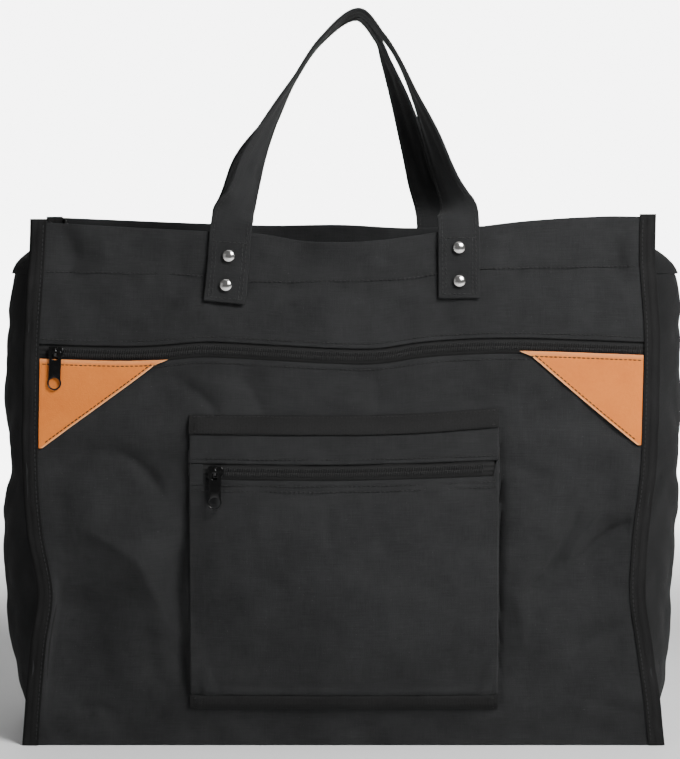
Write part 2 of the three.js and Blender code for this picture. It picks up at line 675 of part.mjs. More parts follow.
// Zips. Each lies along a surface y(x, z), and the slider sits at x = at with its pull hanging from the bail.
function coil(zip) {
  const turns = [0, 0.25, 0.5, 0.75, 1].map((t) => Math.PI * t);
  const bottom = CLOTH - GAP / 2;
  const reach = bottom + COIL_FRONT;
  const section = turns.map((a) => new THREE.Vector2(COIL_HALF * Math.cos(a), bottom - reach * Math.sin(a)));
  const start = zip.at + NECK_X + NECK.length + GAP;
  const rings = range(STEPS.zip, start, zip.coilEnd).map((x) => section.map((p) => {
    const z = zip.height(x);
    return new THREE.Vector3(x, zip.y(x, z) + p.y, z + p.x);
  }));
  return loft(rings, section);
}
function tape(zip) {
  const stations = [
    ...zip.ends.map((row) => ({ x: zip.left + row.from, half: row.half, depth: row.depth })),
    ...range(STEPS.zip, zip.left + TAPE_EVEN, zip.right - TAPE_EVEN).map((x) => {
      return { x, half: TAPE_REACH, depth: CLOTH + GAP };
    }),
    ...zip.ends.toReversed().map((row) => ({ x: zip.right - row.from, half: row.half, depth: row.depth })),
  ];
  const outer = [];
  const inner = [];
  for (const { x, half, depth } of stations) {
    const points = [-1, 1].map((t) => {
      const z = zip.height(x) + half * t;
      return new THREE.Vector3(x, zip.y(x, z) + depth, z);
    });
    outer.push(points);
    inner.push(points.map((p) => new THREE.Vector3(p.x, p.y + TAPE, p.z)));
  }
  return sheet(outer, inner);
}
function roundedPlate(length, height, radius) {
  const plate = new THREE.Shape();
  const x = length / 2 - radius;
  const z = height / 2 - radius;
  plate.absarc(x, z, radius, 0, Math.PI / 2);
  plate.absarc(-x, z, radius, Math.PI / 2, Math.PI);
  plate.absarc(-x, -z, radius, Math.PI, 1.5 * Math.PI);
  plate.absarc(x, -z, radius, 1.5 * Math.PI, 2 * Math.PI);
  return plate;
}
// A flat shape in x and z, extruded in depth from y = from to y = to
function plateBetween(shape, from, to) {
  const options = { depth: to - from, bevelEnabled: false, curveSegments: 2 };
  return new THREE.ExtrudeGeometry(shape, options).rotateX(Math.PI / 2).translate(0, to, 0);
}
const PLATE_BACK = -COIL_FRONT - GAP;
const PLATE_FRONT = PLATE_BACK - SLIDER.plate;
const PIVOT_DEPTH = PLATE_FRONT - BAIL.room / 2;
const BACK_PLATE = CLOTH + GAP + TAPE + 2 * GAP;
const NECK_X = -SLIDER.length / 2 + NECK.inset;
const BITE = 0.2;
function slider() {
  const half = SLIDER.height / 2;
  const outlineShape = roundedPlate(SLIDER.length, SLIDER.height, SLIDER.corner);
  const frontPlate = plateBetween(outlineShape, PLATE_FRONT, PLATE_BACK);
  const backPlate = plateBetween(outlineShape, BACK_PLATE, BACK_PLATE + SLIDER.back);
  const flangeHalf = SLIDER.length / 2 - SLIDER.flangeInset;
  const flangeX = [-flangeHalf, flangeHalf];
  const flangeY = [PLATE_BACK - BITE, CLOTH - GAP / 2];
  const neck = box(
    [NECK_X, NECK_X + NECK.length],
    [PLATE_BACK - BITE, BACK_PLATE + BITE],
    [-NECK.height / 2, NECK.height / 2],
  );
  const bail = new THREE.Shape();
  bail.moveTo(-BAIL.half, 0);
  bail.lineTo(-BAIL.half, BAIL.room);
  bail.lineTo(-BAIL.half + BAIL.bar, BAIL.room + BAIL.bar);
  bail.lineTo(BAIL.half - BAIL.bar, BAIL.room + BAIL.bar);
  bail.lineTo(BAIL.half, BAIL.room);
  bail.lineTo(BAIL.half, 0);
  const bailLoop = new THREE.ExtrudeGeometry(bail, { depth: BAIL.width, bevelEnabled: false });
  bailLoop.rotateY(Math.PI / 2).rotateX(Math.PI).translate(-BAIL.width / 2, PLATE_FRONT + BITE, 0);
  const inside = BAIL.half - BAIL.bar;
  const eye = box([-BAIL.width, BAIL.width], [PLATE_FRONT - BAIL.room, PLATE_FRONT], [-inside, inside]);
  const loop = solid(bailLoop).subtract(solid(eye));
  const body = join([
    frontPlate,
    box(flangeX, flangeY, [half - SLIDER.flange, half]),
    box(flangeX, flangeY, [-half, -half + SLIDER.flange]),
    neck,
    backPlate,
  ]);
  return geometryOf(solid(body).add(loop));
}
function pull() {
  const shape = new THREE.Shape();
  const shoulder = PULL.thick / 2;
  shape.moveTo(PULL.half, shoulder);
  shape.lineTo(-PULL.half, shoulder);
  const meet = Math.acos(PULL.half / PULL.endRadius);
  shape.absarc(0, -PULL.drop, PULL.endRadius, Math.PI - meet, 2 * Math.PI + meet);
  const window = new THREE.Path();
  window.moveTo(-PULL.window, -shoulder);
  window.lineTo(PULL.window, -shoulder);
  window.lineTo(PULL.window, -PULL.windowDrop);
  window.lineTo(-PULL.window, -PULL.windowDrop);
  const eye = new THREE.Path();
  eye.absarc(0, -PULL.drop, PULL.hole, 0, 2 * Math.PI);
  shape.holes.push(window, eye);
  const options = { depth: PULL.thick, bevelEnabled: false, curveSegments: 10 };
  return new THREE.ExtrudeGeometry(shape, options).rotateX(Math.PI / 2).translate(0, PULL.thick / 2, 0);
}
function addZip(name, zip) {
  const onZip = (x, above) => new THREE.Vector3(x, zip.y(x, zip.height(x) + above), zip.height(x) + above);
  const half = SLIDER.length / 2;
  const along = onZip(zip.at + half, 0).sub(onZip(zip.at - half, 0)).normalize();
  const up = onZip(zip.at, half).sub(onZip(zip.at, -half));
  const inward = new THREE.Vector3().crossVectors(up, along).normalize();
  const place = new THREE.Group();
  place.position.copy(onZip(zip.at, 0));
  place.setRotationFromMatrix(
    new THREE.Matrix4().makeBasis(along, inward, new THREE.Vector3().crossVectors(along, inward)),
  );
  const slot = box(
    [NECK_X - GAP, NECK_X + NECK.length + GAP],
    [-SLIDER.length, SLIDER.length],
    [-NECK.height / 2 - GAP, NECK.height / 2 + GAP],
  );
  slot.applyQuaternion(place.quaternion).translate(...place.position);
  add(`${name}_tape`, cut(tape(zip), [slot]), zipTape);
  add(`${name}_coil`, coil(zip), zipCoil);
  bag.add(place);
  add(`${name}_slider`, slider(), blackMetal, place);
  const pullMesh = add(`${name}_pull`, pull(), blackMetal, place);
  pullMesh.position.set(0, PIVOT_DEPTH, 0);
  pullMesh.rotation.x = radians(PULL_TILT);
}
addZip("main_zip", {
  y: front.y,
  height: mainZip,
  left: leftSeam(mainZip(POCKET.left)),
  right: rightSeam(mainZip(POCKET.right)),
  coilEnd: rightSeam(mainZip(POCKET.right)) - COIL_SHORT.main,
  ends: TAPE_END,
  at: SLIDER_AT.main,
});
addZip("pocket_zip", {
  y: pocketY,
  height: pocketZip,
  left: POCKET.left,
  right: POCKET.right,
  coilEnd: POCKET.right - COIL_SHORT.pocket,
  ends: POCKET_TAPE_END,
  at: SLIDER_AT.pocket,
});

// Handles: a flat strap swept through its stations, sewn flat on the wall at both ends. Above the rim both
// straps turn their front inwards.
function strapSection() {
  const w = STRAP.width / 2;
  const t = STRAP.thick / 2;
  const c = STRAP.chamfer;
  return [[w - c, -t], [w, -t + c], [w, t - c], [w - c, t], [c - w, t], [-w, t - c], [-w, c - t], [c - w, -t]]
    .map(([x, y]) => new THREE.Vector2(x, y));
}
function handle(wall) {
  const stations = wall.strap.map((row) => ({ ...row, s: 0 }));
  for (let i = 1; i < stations.length; i += 1) {
    const last = stations[i - 1];
    stations[i].s = last.s + Math.hypot(stations[i].x - last.x, stations[i].z - last.z);
  }
  const along = {};
  for (const name of ["x", "z", "turn", "lean"]) along[name] = column(stations, "s", name);
  const length = stations[stations.length - 1].s;
  const centre = (s) => {
    const x = along.x(s);
    const z = along.z(s);
    const lean = clamp(along.lean(s), 0, 1);
    const wallY = wall.y(x, Math.min(z, wall.rim(x))) + wall.sign * (GAP + STRAP.thick / 2);
    return new THREE.Vector3(x, lerp(wallY, wall.sign * STRAP.apexY, lean), z);
  };
  const section = strapSection();
  const steps = stations.slice(1).flatMap((station, i) => {
    const span = station.s - stations[i].s;
    return range(Math.ceil(span / STEPS.strap), stations[i].s, station.s).slice(1);
  });
  const rings = [0, ...steps].map((s) => {
    const at = centre(s);
    const d = 1;
    const tangent = centre(Math.min(s + d, length)).sub(centre(Math.max(s - d, 0))).normalize();
    const free = smooth(along.lean(s) / STRAP.freeLean);
    const level = new THREE.Vector3(0, wall.sign, 0);
    const away = wall.outward(at.x, Math.min(at.z, wall.rim(at.x))).lerp(level, free);
    const face = away.addScaledVector(tangent, -away.dot(tangent)).normalize();
    const inside = new THREE.Vector3().crossVectors(tangent, face).multiplyScalar(-wall.sign);
    const turn = -wall.sign * radians(Math.max(along.turn(s), 0));
    const width = inside.clone().multiplyScalar(Math.cos(turn)).addScaledVector(face, -Math.sin(turn));
    const normal = face.clone().multiplyScalar(Math.cos(turn)).addScaledVector(inside, Math.sin(turn));
    return section.map((p) => at.clone().addScaledVector(width, p.x).addScaledVector(normal, p.y));
  });
  return cut(loft(rings, section), rivetHoles(wall));
}
add("handle_front", handle(front), strapCloth);
add("handle_back", handle(back), strapCloth);

// Rivets: a domed cap on the strap, a post through strap and wall, and a low cap inside
function rivet() {
  const seat = GAP + STRAP.thick + GAP;
  const inside = -HEM_CLOTH - GAP;
  const profile = [
    [0, seat + RIVET.dome],
    [RIVET.cap * 0.7, seat + RIVET.dome * 0.75],
    [RIVET.cap, seat],
    [RIVET.post, seat],
    [RIVET.post, inside],
    [RIVET.backCap, inside],
    [RIVET.backCap * 0.7, inside - RIVET.backHeight],
    [0, inside - RIVET.backHeight],
  ].map(([r, y]) => new THREE.Vector2(r, y));
  return new THREE.LatheGeometry(profile.reverse(), RIVET.sides);
}
for (const [side, wall] of [["front", front], ["back", back]]) {
  for (const place of rivetPlaces(wall)) add(`rivet_${side}_${place.name}`, standOn(rivet(), place), nickel);
}

export default bag;
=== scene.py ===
"""Looks of the zipped cloth tote bag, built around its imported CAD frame.

Sizes and tables are in millimetres, as in the part's source, and meshes are written in metres. The front wall
faces -Y, +Z is up, and the origin is on the floor under the middle of the base.
"""

import logging
import math
from collections.abc import Callable, Iterator, Sequence
from contextlib import contextmanager
from dataclasses import dataclass
from enum import Enum

import bmesh
import bpy
import numpy as np
from mathutils import Matrix, Vector


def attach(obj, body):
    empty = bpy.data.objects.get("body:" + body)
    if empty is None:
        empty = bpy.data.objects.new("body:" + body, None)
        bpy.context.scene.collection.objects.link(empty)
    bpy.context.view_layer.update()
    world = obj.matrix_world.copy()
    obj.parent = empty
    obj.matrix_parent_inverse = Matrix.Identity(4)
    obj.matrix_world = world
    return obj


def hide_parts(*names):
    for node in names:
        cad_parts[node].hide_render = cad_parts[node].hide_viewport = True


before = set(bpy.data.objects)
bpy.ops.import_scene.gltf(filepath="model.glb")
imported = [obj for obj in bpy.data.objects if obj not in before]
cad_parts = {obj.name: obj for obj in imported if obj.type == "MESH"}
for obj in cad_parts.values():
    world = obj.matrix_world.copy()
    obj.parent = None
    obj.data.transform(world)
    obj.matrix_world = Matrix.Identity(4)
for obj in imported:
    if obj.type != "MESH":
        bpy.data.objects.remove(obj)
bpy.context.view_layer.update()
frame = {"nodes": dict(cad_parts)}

LOG = logging.getLogger("tote_bag")
MM = 0.001
UV_NAME = "cut"
# The mark: real pale cut edges, and a painted highlight along folded edges.
MARK_NAME = "cut_edge"
BODY = "bag"
MAIN_ZIP_LEVEL = 287.0
Array = np.ndarray
Thing = bpy.types.Object
Material = bpy.types.Material
Colour = tuple[float, float, float, float]
Pair = tuple[float, float]


class Slot(Enum):
    """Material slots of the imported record."""

    CLOTH = "cloth"
    TAPE = "binding_tape"
    STRAP = "strap_cloth"
    ZIP_TAPE = "zip_tape"
    COIL = "zip_coil"
    LEATHER = "leather"
    BLACK_METAL = "black_metal"
    NICKEL = "nickel"


class Held(Enum):
    """How a sheet is held in its shape."""

    STRETCHED = "stretched"
    FOLDED = "folded"
    LAID = "laid"
    HUNG = "hung"


class Side(Enum):
    """The two long walls, with the sign of their outward y."""

    FRONT = -1
    BACK = 1


class Hand(Enum):
    """The two ends of the bag, with the sign of their outward x."""

    LEFT = -1
    RIGHT = 1


def smooth(t: Array) -> Array:
    """Returns an eased step from 0 at t = 0 to 1 at t = 1."""
    t = np.clip(t, 0, 1)
    return t * t * (3 - 2 * t)


def lerp(a: Array, b: Array, t: Array) -> Array:
    """Returns the value a share t of the way from a to b."""
    return a + (b - a) * t


def within(at: Array, low: Array, high: Array, over: float) -> Array:
    """Returns 1 between two places, easing to 0 at each of them over a distance."""
    return smooth((at - low) / over) * smooth((high - at) / over)


def unit(vectors: Array) -> Array:
    """Returns the vectors at length one."""
    return vectors / np.maximum(np.linalg.norm(vectors, axis=-1, keepdims=True), 1e-12)


def running(steps: Array) -> Array:
    """Returns the distance from the start to each point, from the steps between them."""
    return np.concatenate([[0.0], np.cumsum(steps)])


def along_line(x: Array, z: Array, start: Pair, end: Pair) -> tuple[Array, Array, Array]:
    """Returns each point's share along a line, its distance from it, and its side: above 0 on the right."""
    (x0, z0), (dx, dz) = start, (end[0] - start[0], end[1] - start[1])
    along = np.clip(((x - x0) * dx + (z - z0) * dz) / (dx * dx + dz * dz), 0, 1)
    away = np.hypot(x - x0 - along * dx, z - z0 - along * dz)
    return along, away, np.sign((x - x0) * dz - (z - z0) * dx)


class Curve:
    """A smooth curve through points, flat beyond its ends."""

    def __init__(self, along: Array, value: Array) -> None:
        """Keeps the points and the slope at each of them."""
        self.along, self.value = np.asarray(along, float), np.asarray(value, float)
        last = len(self.along) - 1
        before = np.maximum(np.arange(last + 1) - 1, 0)
        after = np.minimum(np.arange(last + 1) + 1, last)
        self.slope = (self.value[after] - self.value[before]) / (self.along[after] - self.along[before])

    @classmethod
    def through(cls, *points: Pair) -> "Curve":
        """Returns the curve through points given as (place, value)."""
        return cls(*np.array(points, float).T)

    @classmethod
    def level(cls, value: float) -> "Curve":
        """Returns a curve with one value everywhere."""
        return cls((0, 1), (value, value))

    def raised(self, by: float) -> "Curve":
        """Returns the curve with an amount added to its values."""
        return Curve(self.along, self.value + by)

    def __call__(self, at: Array) -> Array:
        """Returns the curve's value at each place."""
        t = np.clip(at, self.along[0], self.along[-1])
        i = np.clip(np.searchsorted(self.along, t) - 1, 0, len(self.along) - 2)
        span = self.along[i + 1] - self.along[i]
        s = (t - self.along[i]) / span
        level = lerp(self.value[i], self.value[i + 1], s * s * (3 - 2 * s))
        lead = self.slope[i] * s * (1 - s) ** 2 * span
        return level + lead + self.slope[i + 1] * s * s * (s - 1) * span


class Table:
    """Rows of numbers with named columns."""

    def __init__(self, columns: str, *rows: Sequence[float]) -> None:
        """Keeps the rows under their column names."""
        self.names, self.rows = columns.split(), np.array(rows, float)

    def column(self, name: str) -> Array:
        """Returns one column."""
        return self.rows[:, self.names.index(name)]

    def curve(self, value: str) -> Curve:
        """Returns a column as a curve along the first one."""
        return Curve(self.rows[:, 0], self.column(value))


OUTLINE = Table(
    "z left right depth front back left_side right_side",
    (0, -231, 236, 80, 0, 0, -231, 236),
    (35, -228, 232, 84, 4, 4, -242, 245),
    (75, -224, 226, 86, 7, 6, -249, 248),
    (112, -219, 221, 86, 8, 7, -252, 250),
    (156, -226, 223, 86, 8, 8, -253, 253),
    (200, -229, 228, 85, 8, 8, -247, 254),
    (250, -229, 230, 81, 7, 7, -251, 255),
    (300, -228, 231, 75, 7, 6, -248, 254),
    (335, -226, 229, 69, 9, 6, -246, 254),
    (355, -225, 228, 65, 11, 6, -238, 244),
    (386, -224, 229, 58.8, 15, 6, -191, 196),
)
FRONT_RIM = Curve.through(
    (-224, 379.5), (-120, 374), (-57, 371), (-22, 365.5), (22, 366), (69, 372), (131, 380), (190, 383.5),
    (229, 383),
)
FRONT_HEM = Curve.through(
    (-219, 343.5), (-150, 342.8), (-107, 341.5), (-64, 337), (0, 337.5), (45, 339), (94, 345.5), (217, 347.5),
)
BACK_RIM = Curve.through((-224, 380.5), (-60, 374), (0, 374.5), (55, 372), (140, 375), (229, 380))
FOLD_COLUMNS = "x0 z0 x1 z1 width rise"
FRONT_FOLDS = Table(
    FOLD_COLUMNS,
    (-192, 215, -154, 213, 8, -1.5), (-154, 213, -127, 187, 8, -1.4), (-117, 135, -116, 70, 9, -6),
    (212, 163, 180, 143, 8, -2.5), (180, 143, 142, 113, 9, -1.5), (131, 222, 129, 135, 18, 2),
    (131, 112, 131, 72, 8, 1.5), (190, 91, 162, 68, 11, -3), (188, 203, 200, 182, 12, -3),
    (-202, 374, -198, 344, 10, -4), (196, 370, 203, 340, 10, -4), (-30, 372, 34, 372, 16, 3),
)
BACK_FOLDS = Table(
    FOLD_COLUMNS,
    (-190, 175, -90, 95, 20, 5), (-200, 130, -140, 80, 22, -6), (195, 190, 110, 120, 16, -5),
    (185, 130, 120, 75, 20, 5), (-60, 300, 90, 270, 24, -5),
)
STRAP_COLUMNS = "x z turn lean"
FRONT_STRAP = Table(
    STRAP_COLUMNS,
    (-83, 322, 0, 0), (-80.5, 345, 0, 0), (-77.3, 381, 0, 0), (-71.2, 395, 41, 0.1), (-62.5, 424, 57, 0.32),
    (-49.4, 453, 75, 0.54), (-33.6, 482, 89, 0.76), (-13.9, 511.5, 88, 0.93), (13.2, 531.5, 82, 1),
    (31.5, 514.5, 88, 0.95), (42.8, 497, 90, 0.86), (55.2, 468, 84, 0.66), (66.7, 438, 68, 0.42),
    (76.4, 409.5, 58, 0.2), (82.6, 393, 40, 0.07), (84.8, 383, 0, 0), (85.5, 345, 0, 0), (85.5, 325, 0, 0),
)
BACK_STRAP = Table(
    STRAP_COLUMNS,
    (-89, 322, 0, 0), (-86.5, 345, 0, 0), (-83.5, 381, 0, 0), (-80.6, 394, 38, 0.1), (-71.2, 424, 55, 0.32),
    (-52.2, 454, 75, 0.54), (-34.6, 484, 89, 0.76), (-14.2, 512.5, 88, 0.93), (11.9, 530.5, 84, 1),
    (28.4, 513, 86, 0.94), (34.5, 498.5, 80, 0.86), (45.2, 470, 66, 0.66), (54.7, 439, 54, 0.42),
    (62.7, 409, 46, 0.2), (70.2, 391, 28, 0.06), (73.5, 381, 0, 0), (74.2, 345, 0, 0), (74.2, 325, 0, 0),
)
TAB_ROWS = 3
RIVETS = {
    "left_upper": (Hand.LEFT, 355),
    "left_lower": (Hand.LEFT, 334),
    "right_upper": (Hand.RIGHT, 361),
    "right_lower": (Hand.RIGHT, 337),
}


@dataclass(frozen=True)
class Sizes:
    """Sizes that several pieces share, in millimetres."""

    cloth: float = 0.8
    layer_gap: float = 0.25
    gap: float = 0.35
    floor_gap: float = 0.4
    fin: float = 12.0
    fin_edge: float = 3.5
    seam_bend: float = 1.6
    wall_cloth: float = 1.2
    gusset_cloth: float = 1.1
    hem: float = 36.0
    hem_stitch: float = 2.0
    slot: float = 5.8
    zip_turn: float = 9.0
    turn_row: float = 4.0
    seam_top: float = 379.5
    fold_fade: float = 22.0
    crease_fade: float = 5.0
    fold_end: float = 0.55

    @property
    def fold(self) -> float:
        """Returns the radius of a turned edge."""
        return (self.cloth + self.layer_gap) / 2


@dataclass(frozen=True)
class PocketSizes:
    """Outline of the patch pocket and how far it stands off the wall."""

    left: float = -108.0
    right: float = 113.5
    bottom: float = 28.0
    side: float = 5.5
    swell: float = 10.0
    edge: float = 1.2
    belly: float = 6.0
    belly_z: float = 100.0
    belly_reach: float = 45.0
    fade: float = 10.0
    corner: float = 1.5
    tuck: float = 6.5
    band_top: float = 13.5
    band_bottom: float = 11.5
    overhang: float = 0.3
    slot_left: float = -98.5
    slot_right: float = 112.0
    slot_ease: float = 3.0


S = Sizes()
POCKET = PocketSizes()


@dataclass(frozen=True)
class Creases:
    """Fine unevenness of cloth: crossing waves of several lengths, some drawn into narrow ridges."""

    seed: int
    height: float = 0.7
    short: float = 17.0
    long: float = 80.0
    count: int = 24
    bend: float = 0.35
    bend_length: float = 2.3
    ridge: float = 0.35

    def __call__(self, u: Array, v: Array) -> Array:
        """Returns the height at each point of the flat cloth."""
        dice = np.random.default_rng(self.seed)
        total = np.zeros(np.broadcast(u, v).shape)
        for _ in range(self.count):
            length = self.short * (self.long / self.short) ** dice.random()
            angle = math.pi * dice.random()
            phase = 2 * math.pi * dice.random()
            along = (u * math.cos(angle) + v * math.sin(angle)) / length
            across = (v * math.cos(angle) - u * math.sin(angle)) / (self.bend_length * length)
            bend = self.bend * np.sin(2 * math.pi * across + phase)
            wave = np.sin(2 * math.pi * (along + bend) + phase)
            total = total + (length / self.long) * (wave - self.ridge * np.abs(wave))
        return self.height * total / math.sqrt(self.count / 4)


@dataclass(frozen=True)
class Crease:
    """A sharp fold along a bent line, strongest at its middle."""

    line: tuple[Pair, ...]
    width: float
    rise: float
    blunt: float = 0.15

    def __call__(self, x: Array, z: Array) -> Array:
        """Returns how far the fold lifts the cloth at each point."""
        ends = np.array(self.line, float)
        reach = running(np.linalg.norm(np.diff(ends, axis=0), axis=-1))
        reach = reach / reach[-1]
        nearest = np.full(np.broadcast(x, z).shape, np.inf)
        share, side = np.zeros_like(nearest), np.ones_like(nearest)
        for i in range(len(ends) - 1):
            along, away, hand = along_line(x, z, ends[i], ends[i + 1])
            closer = away < nearest
            share = np.where(closer, lerp(reach[i], reach[i + 1], along), share)
            side = np.where(closer, hand, side)
            nearest = np.minimum(nearest, away)
        return self.rise * smooth(4 * share * (1 - share)) * self.profile(side * nearest / self.width)

    def profile(self, away: Array) -> Array:
        """Returns the share of the rise at a distance from the line, in widths and above 0 on its right."""
        return np.exp(self.blunt - np.hypot(away, self.blunt))


class Tuck(Crease):
    """A fold with a ramp up to its line, and a longer one down into a hollow on the line's right."""

    slope = Curve.through(
        (-1.2, 0), (-0.9, 0.12), (-0.12, 0.88), (0, 1), (0.12, 0.84), (1.2, -0.66), (1.8, -0.86), (3.6, 0)
    )

    def profile(self, away: Array) -> Array:
        """Returns the share of the rise at a distance from the line, in widths and above 0 on its right."""
        return self.slope(away)


FRONT_CREASES = (
    Crease(((-198, 213), (-172, 215.5), (-150, 212)), 5, -1.6),
    Crease(((-165, 216), (-151, 211), (-138, 200), (-125, 181)), 3.6, -3.2),
    Tuck(((-208, 170), (-183, 160), (-165, 150), (-146, 139), (-136, 120), (-125, 98), (-106, 60)), 44, 11.0),
    Crease(((-109, 185), (-113, 145), (-119, 115), (-115, 85), (-109, 30)), 7, -7.0),
    Crease(((-213, 0), (-195, 12), (-174, 26)), 5, -2.6),
    Crease(((-195, 26), (-175, 29), (-158, 23)), 5, -2.0),
    Crease(((219, 168), (195, 157), (183, 148), (166, 132)), 5, -5.6),
    Crease(((197, 182), (179, 162), (170, 149), (159, 127)), 5, 3.8),
    Crease(((175, 178), (162, 151), (152, 133), (139, 116), (126, 101)), 5, -5.6),
    Crease(((121, 244), (121, 170), (117, 90)), 22, 5.5),
    Crease(((128, 116), (131, 90), (134, 66)), 6, 1.8),
    Crease(((118.5, 135), (120, 85), (119, 35)), 5, -1.4),
    Crease(((114.6, 252), (114.8, 180), (114.8, 130), (114.8, 80), (114.6, 16)), 2.8, -6.5, 0.1),
    Crease(((161, 60), (177, 77), (208, 92)), 5, -2.2),
    Crease(((178, 36), (205, 27), (226, 21)), 9, -2.6),
    Crease(((112, 211), (135, 203), (156, 197)), 6, -2.2),
    Crease(((-122, 266), (-112, 263), (-100, 256), (-84, 238)), 5, -3.4),
    Crease(((-75, 274), (-62, 256), (-50, 234)), 7, -2.6),
    Crease(((24, 277), (25, 258), (28, 236)), 6, -2.0),
    Crease(((-104, 364), (-122, 352), (-141, 337)), 7, -2.2),
    Crease(((-140, 305), (-128, 312), (-118, 324)), 7, -1.4),
    Crease(((-196, 368), (-191, 352), (-199, 338)), 6, -2.2),
    Crease(((190, 367), (203, 354), (198, 342), (184, 333), (186, 316)), 6, -2.0),
)
POCKET_CREASES = (
    Crease(((-107, 182), (-105, 120), (-107, 55)), 13, -3.4),
    Crease(((-101, 43), (-88, 48)), 7, 2.2),
    Crease(((99, 47), (110, 44)), 7, 2.2),
    Crease(((-28, 184), (-27, 150)), 6, 0.9),
    Crease(((-9, 184), (-8, 146)), 4, -1.2),
    Crease(((-58, 183), (-57, 152)), 6, 0.8),
)


class BagForm:
    """The bag's outline by height, shared by every piece."""

    edges = {hand: OUTLINE.curve(hand.name.lower()) for hand in Hand}
    sides = {hand: OUTLINE.curve(f"{hand.name.lower()}_side") for hand in Hand}
    depth = OUTLINE.curve("depth")
    main_zip = Curve.through(
        (-229, 286.5), (-160, 284.8), (-130, 285.6), (-98, 288.2), (-50, 286.1), (0, 283.6), (28, 283.7),
        (60, 288.2), (100, 290.6), (140, 290.6), (231, 287),
    )
    pocket_zip = Curve.through((-110, 201.9), (0, 201.7), (117, 204.3))
    pocket_top = Curve.through((-108, 242), (0, 241.6), (50, 242.6), (85, 244.8), (113.5, 247))

    @classmethod
    def edge(cls, hand: Hand, z: Array, inside: float = 0.0) -> Array:
        """Returns x of the seam's outer edge at a height, or a distance inside it."""
        return cls.edges[hand](z) - hand.value * inside

    @classmethod
    def seam(cls, hand: Hand, z: Array) -> Array:
        """Returns x of the seam itself at a height."""
        return cls.edge(hand, z, S.fin)

    @classmethod
    def from_seams(cls, x: Array, z: Array) -> Array:
        """Returns how far a point lies inside the nearer seam."""
        return np.minimum(x - cls.seam(Hand.LEFT, z), cls.seam(Hand.RIGHT, z) - x)

    @classmethod
    def beside_pocket(cls, x: Array, z: Array) -> Array:
        """Returns how far a point lies outside the pocket's outline, below 0 inside it."""
        sides = np.maximum(POCKET.left - x, x - POCKET.right)
        return np.maximum(sides, np.maximum(POCKET.bottom - z, z - cls.pocket_top(x)))


@dataclass(frozen=True)
class Wall:
    """The outer face of the front or back wall, by x and height."""

    side: Side
    swell: Curve
    rim: Curve
    hem: Curve
    folds: Table
    creases: Creases
    strap: Table
    sharp: tuple[Crease, ...] = ()

    def strap_x(self, hand: Hand, z: float) -> float:
        """Returns x of the strap's middle at a height on one of its tabs."""
        rows = self.strap.rows[:TAB_ROWS] if hand is Hand.LEFT else self.strap.rows[: -TAB_ROWS - 1 : -1]
        return float(Curve(rows[:, 1], rows[:, 0])(z))

    def fold_rise(self, x: Array, z: Array) -> Array:
        """Returns how far the folds lift the cloth, fading towards the seams and the pocket."""
        seam = np.minimum(BagForm.from_seams(x, z), z)
        beside = BagForm.beside_pocket(x, z)
        total = 0.0
        for x0, z0, x1, z1, width, rise in self.folds.rows:
            along, away, _ = along_line(x, z, (x0, z0), (x1, z1))
            taper = lerp(S.fold_end, 1, np.sin(math.pi * along))
            total = total + rise * taper * np.exp(-((away / width) ** 2))
        total = total * smooth(seam / S.fold_fade) * smooth(1 + beside / POCKET.fade)
        fine = sum(crease(x, z) for crease in self.sharp)
        return total + fine * smooth(seam / S.crease_fade) * smooth(1 + beside / S.crease_fade)

    def plain_y(self, x: Array, z: Array) -> Array:
        """Returns y of the wall without its folds."""
        left, right = BagForm.seam(Hand.LEFT, z), BagForm.seam(Hand.RIGHT, z)
        arch = np.maximum(0, 1 - ((x - (left + right) / 2) / ((right - left) / 2)) ** 2)
        return self.side.value * (BagForm.depth(z) + self.swell(z) * arch)

    def y(self, x: Array, z: Array) -> Array:
        """Returns y of the wall."""
        return self.plain_y(x, z) + self.side.value * self.fold_rise(x, z)

    def outward(self, x: Array, z: Array, step: float = 2.0) -> Array:
        """Returns the wall's outward normal at each point."""
        x, z = np.asarray(x, float), np.asarray(z, float)
        slope_x = (self.y(x + step, z) - self.y(x - step, z)) / (2 * step)
        slope_z = (self.y(x, z + step) - self.y(x, z - step)) / (2 * step)
        return unit(np.stack([-slope_x, np.ones_like(slope_x), -slope_z], -1)) * self.side.value

    def at(self, x: Array, z: Array, out: Array | float = 0.0) -> Array:
        """Returns points on the wall, or a distance outside it."""
        x, z = np.broadcast_arrays(np.asarray(x, float), np.asarray(z, float))
        place = np.stack([x, self.y(x, z), z], -1)
        return place + self.outward(x, z) * np.asarray(out)[..., None]


FRONT = Wall(
    Side.FRONT, OUTLINE.curve("front"), FRONT_RIM, FRONT_HEM, FRONT_FOLDS, Creases(3), FRONT_STRAP,
    FRONT_CREASES,
)
BACK = Wall(
    Side.BACK, OUTLINE.curve("back"), BACK_RIM, BACK_RIM.raised(S.hem_stitch - S.hem), BACK_FOLDS, Creases(8),
    BACK_STRAP,
)
WALLS = (FRONT, BACK)


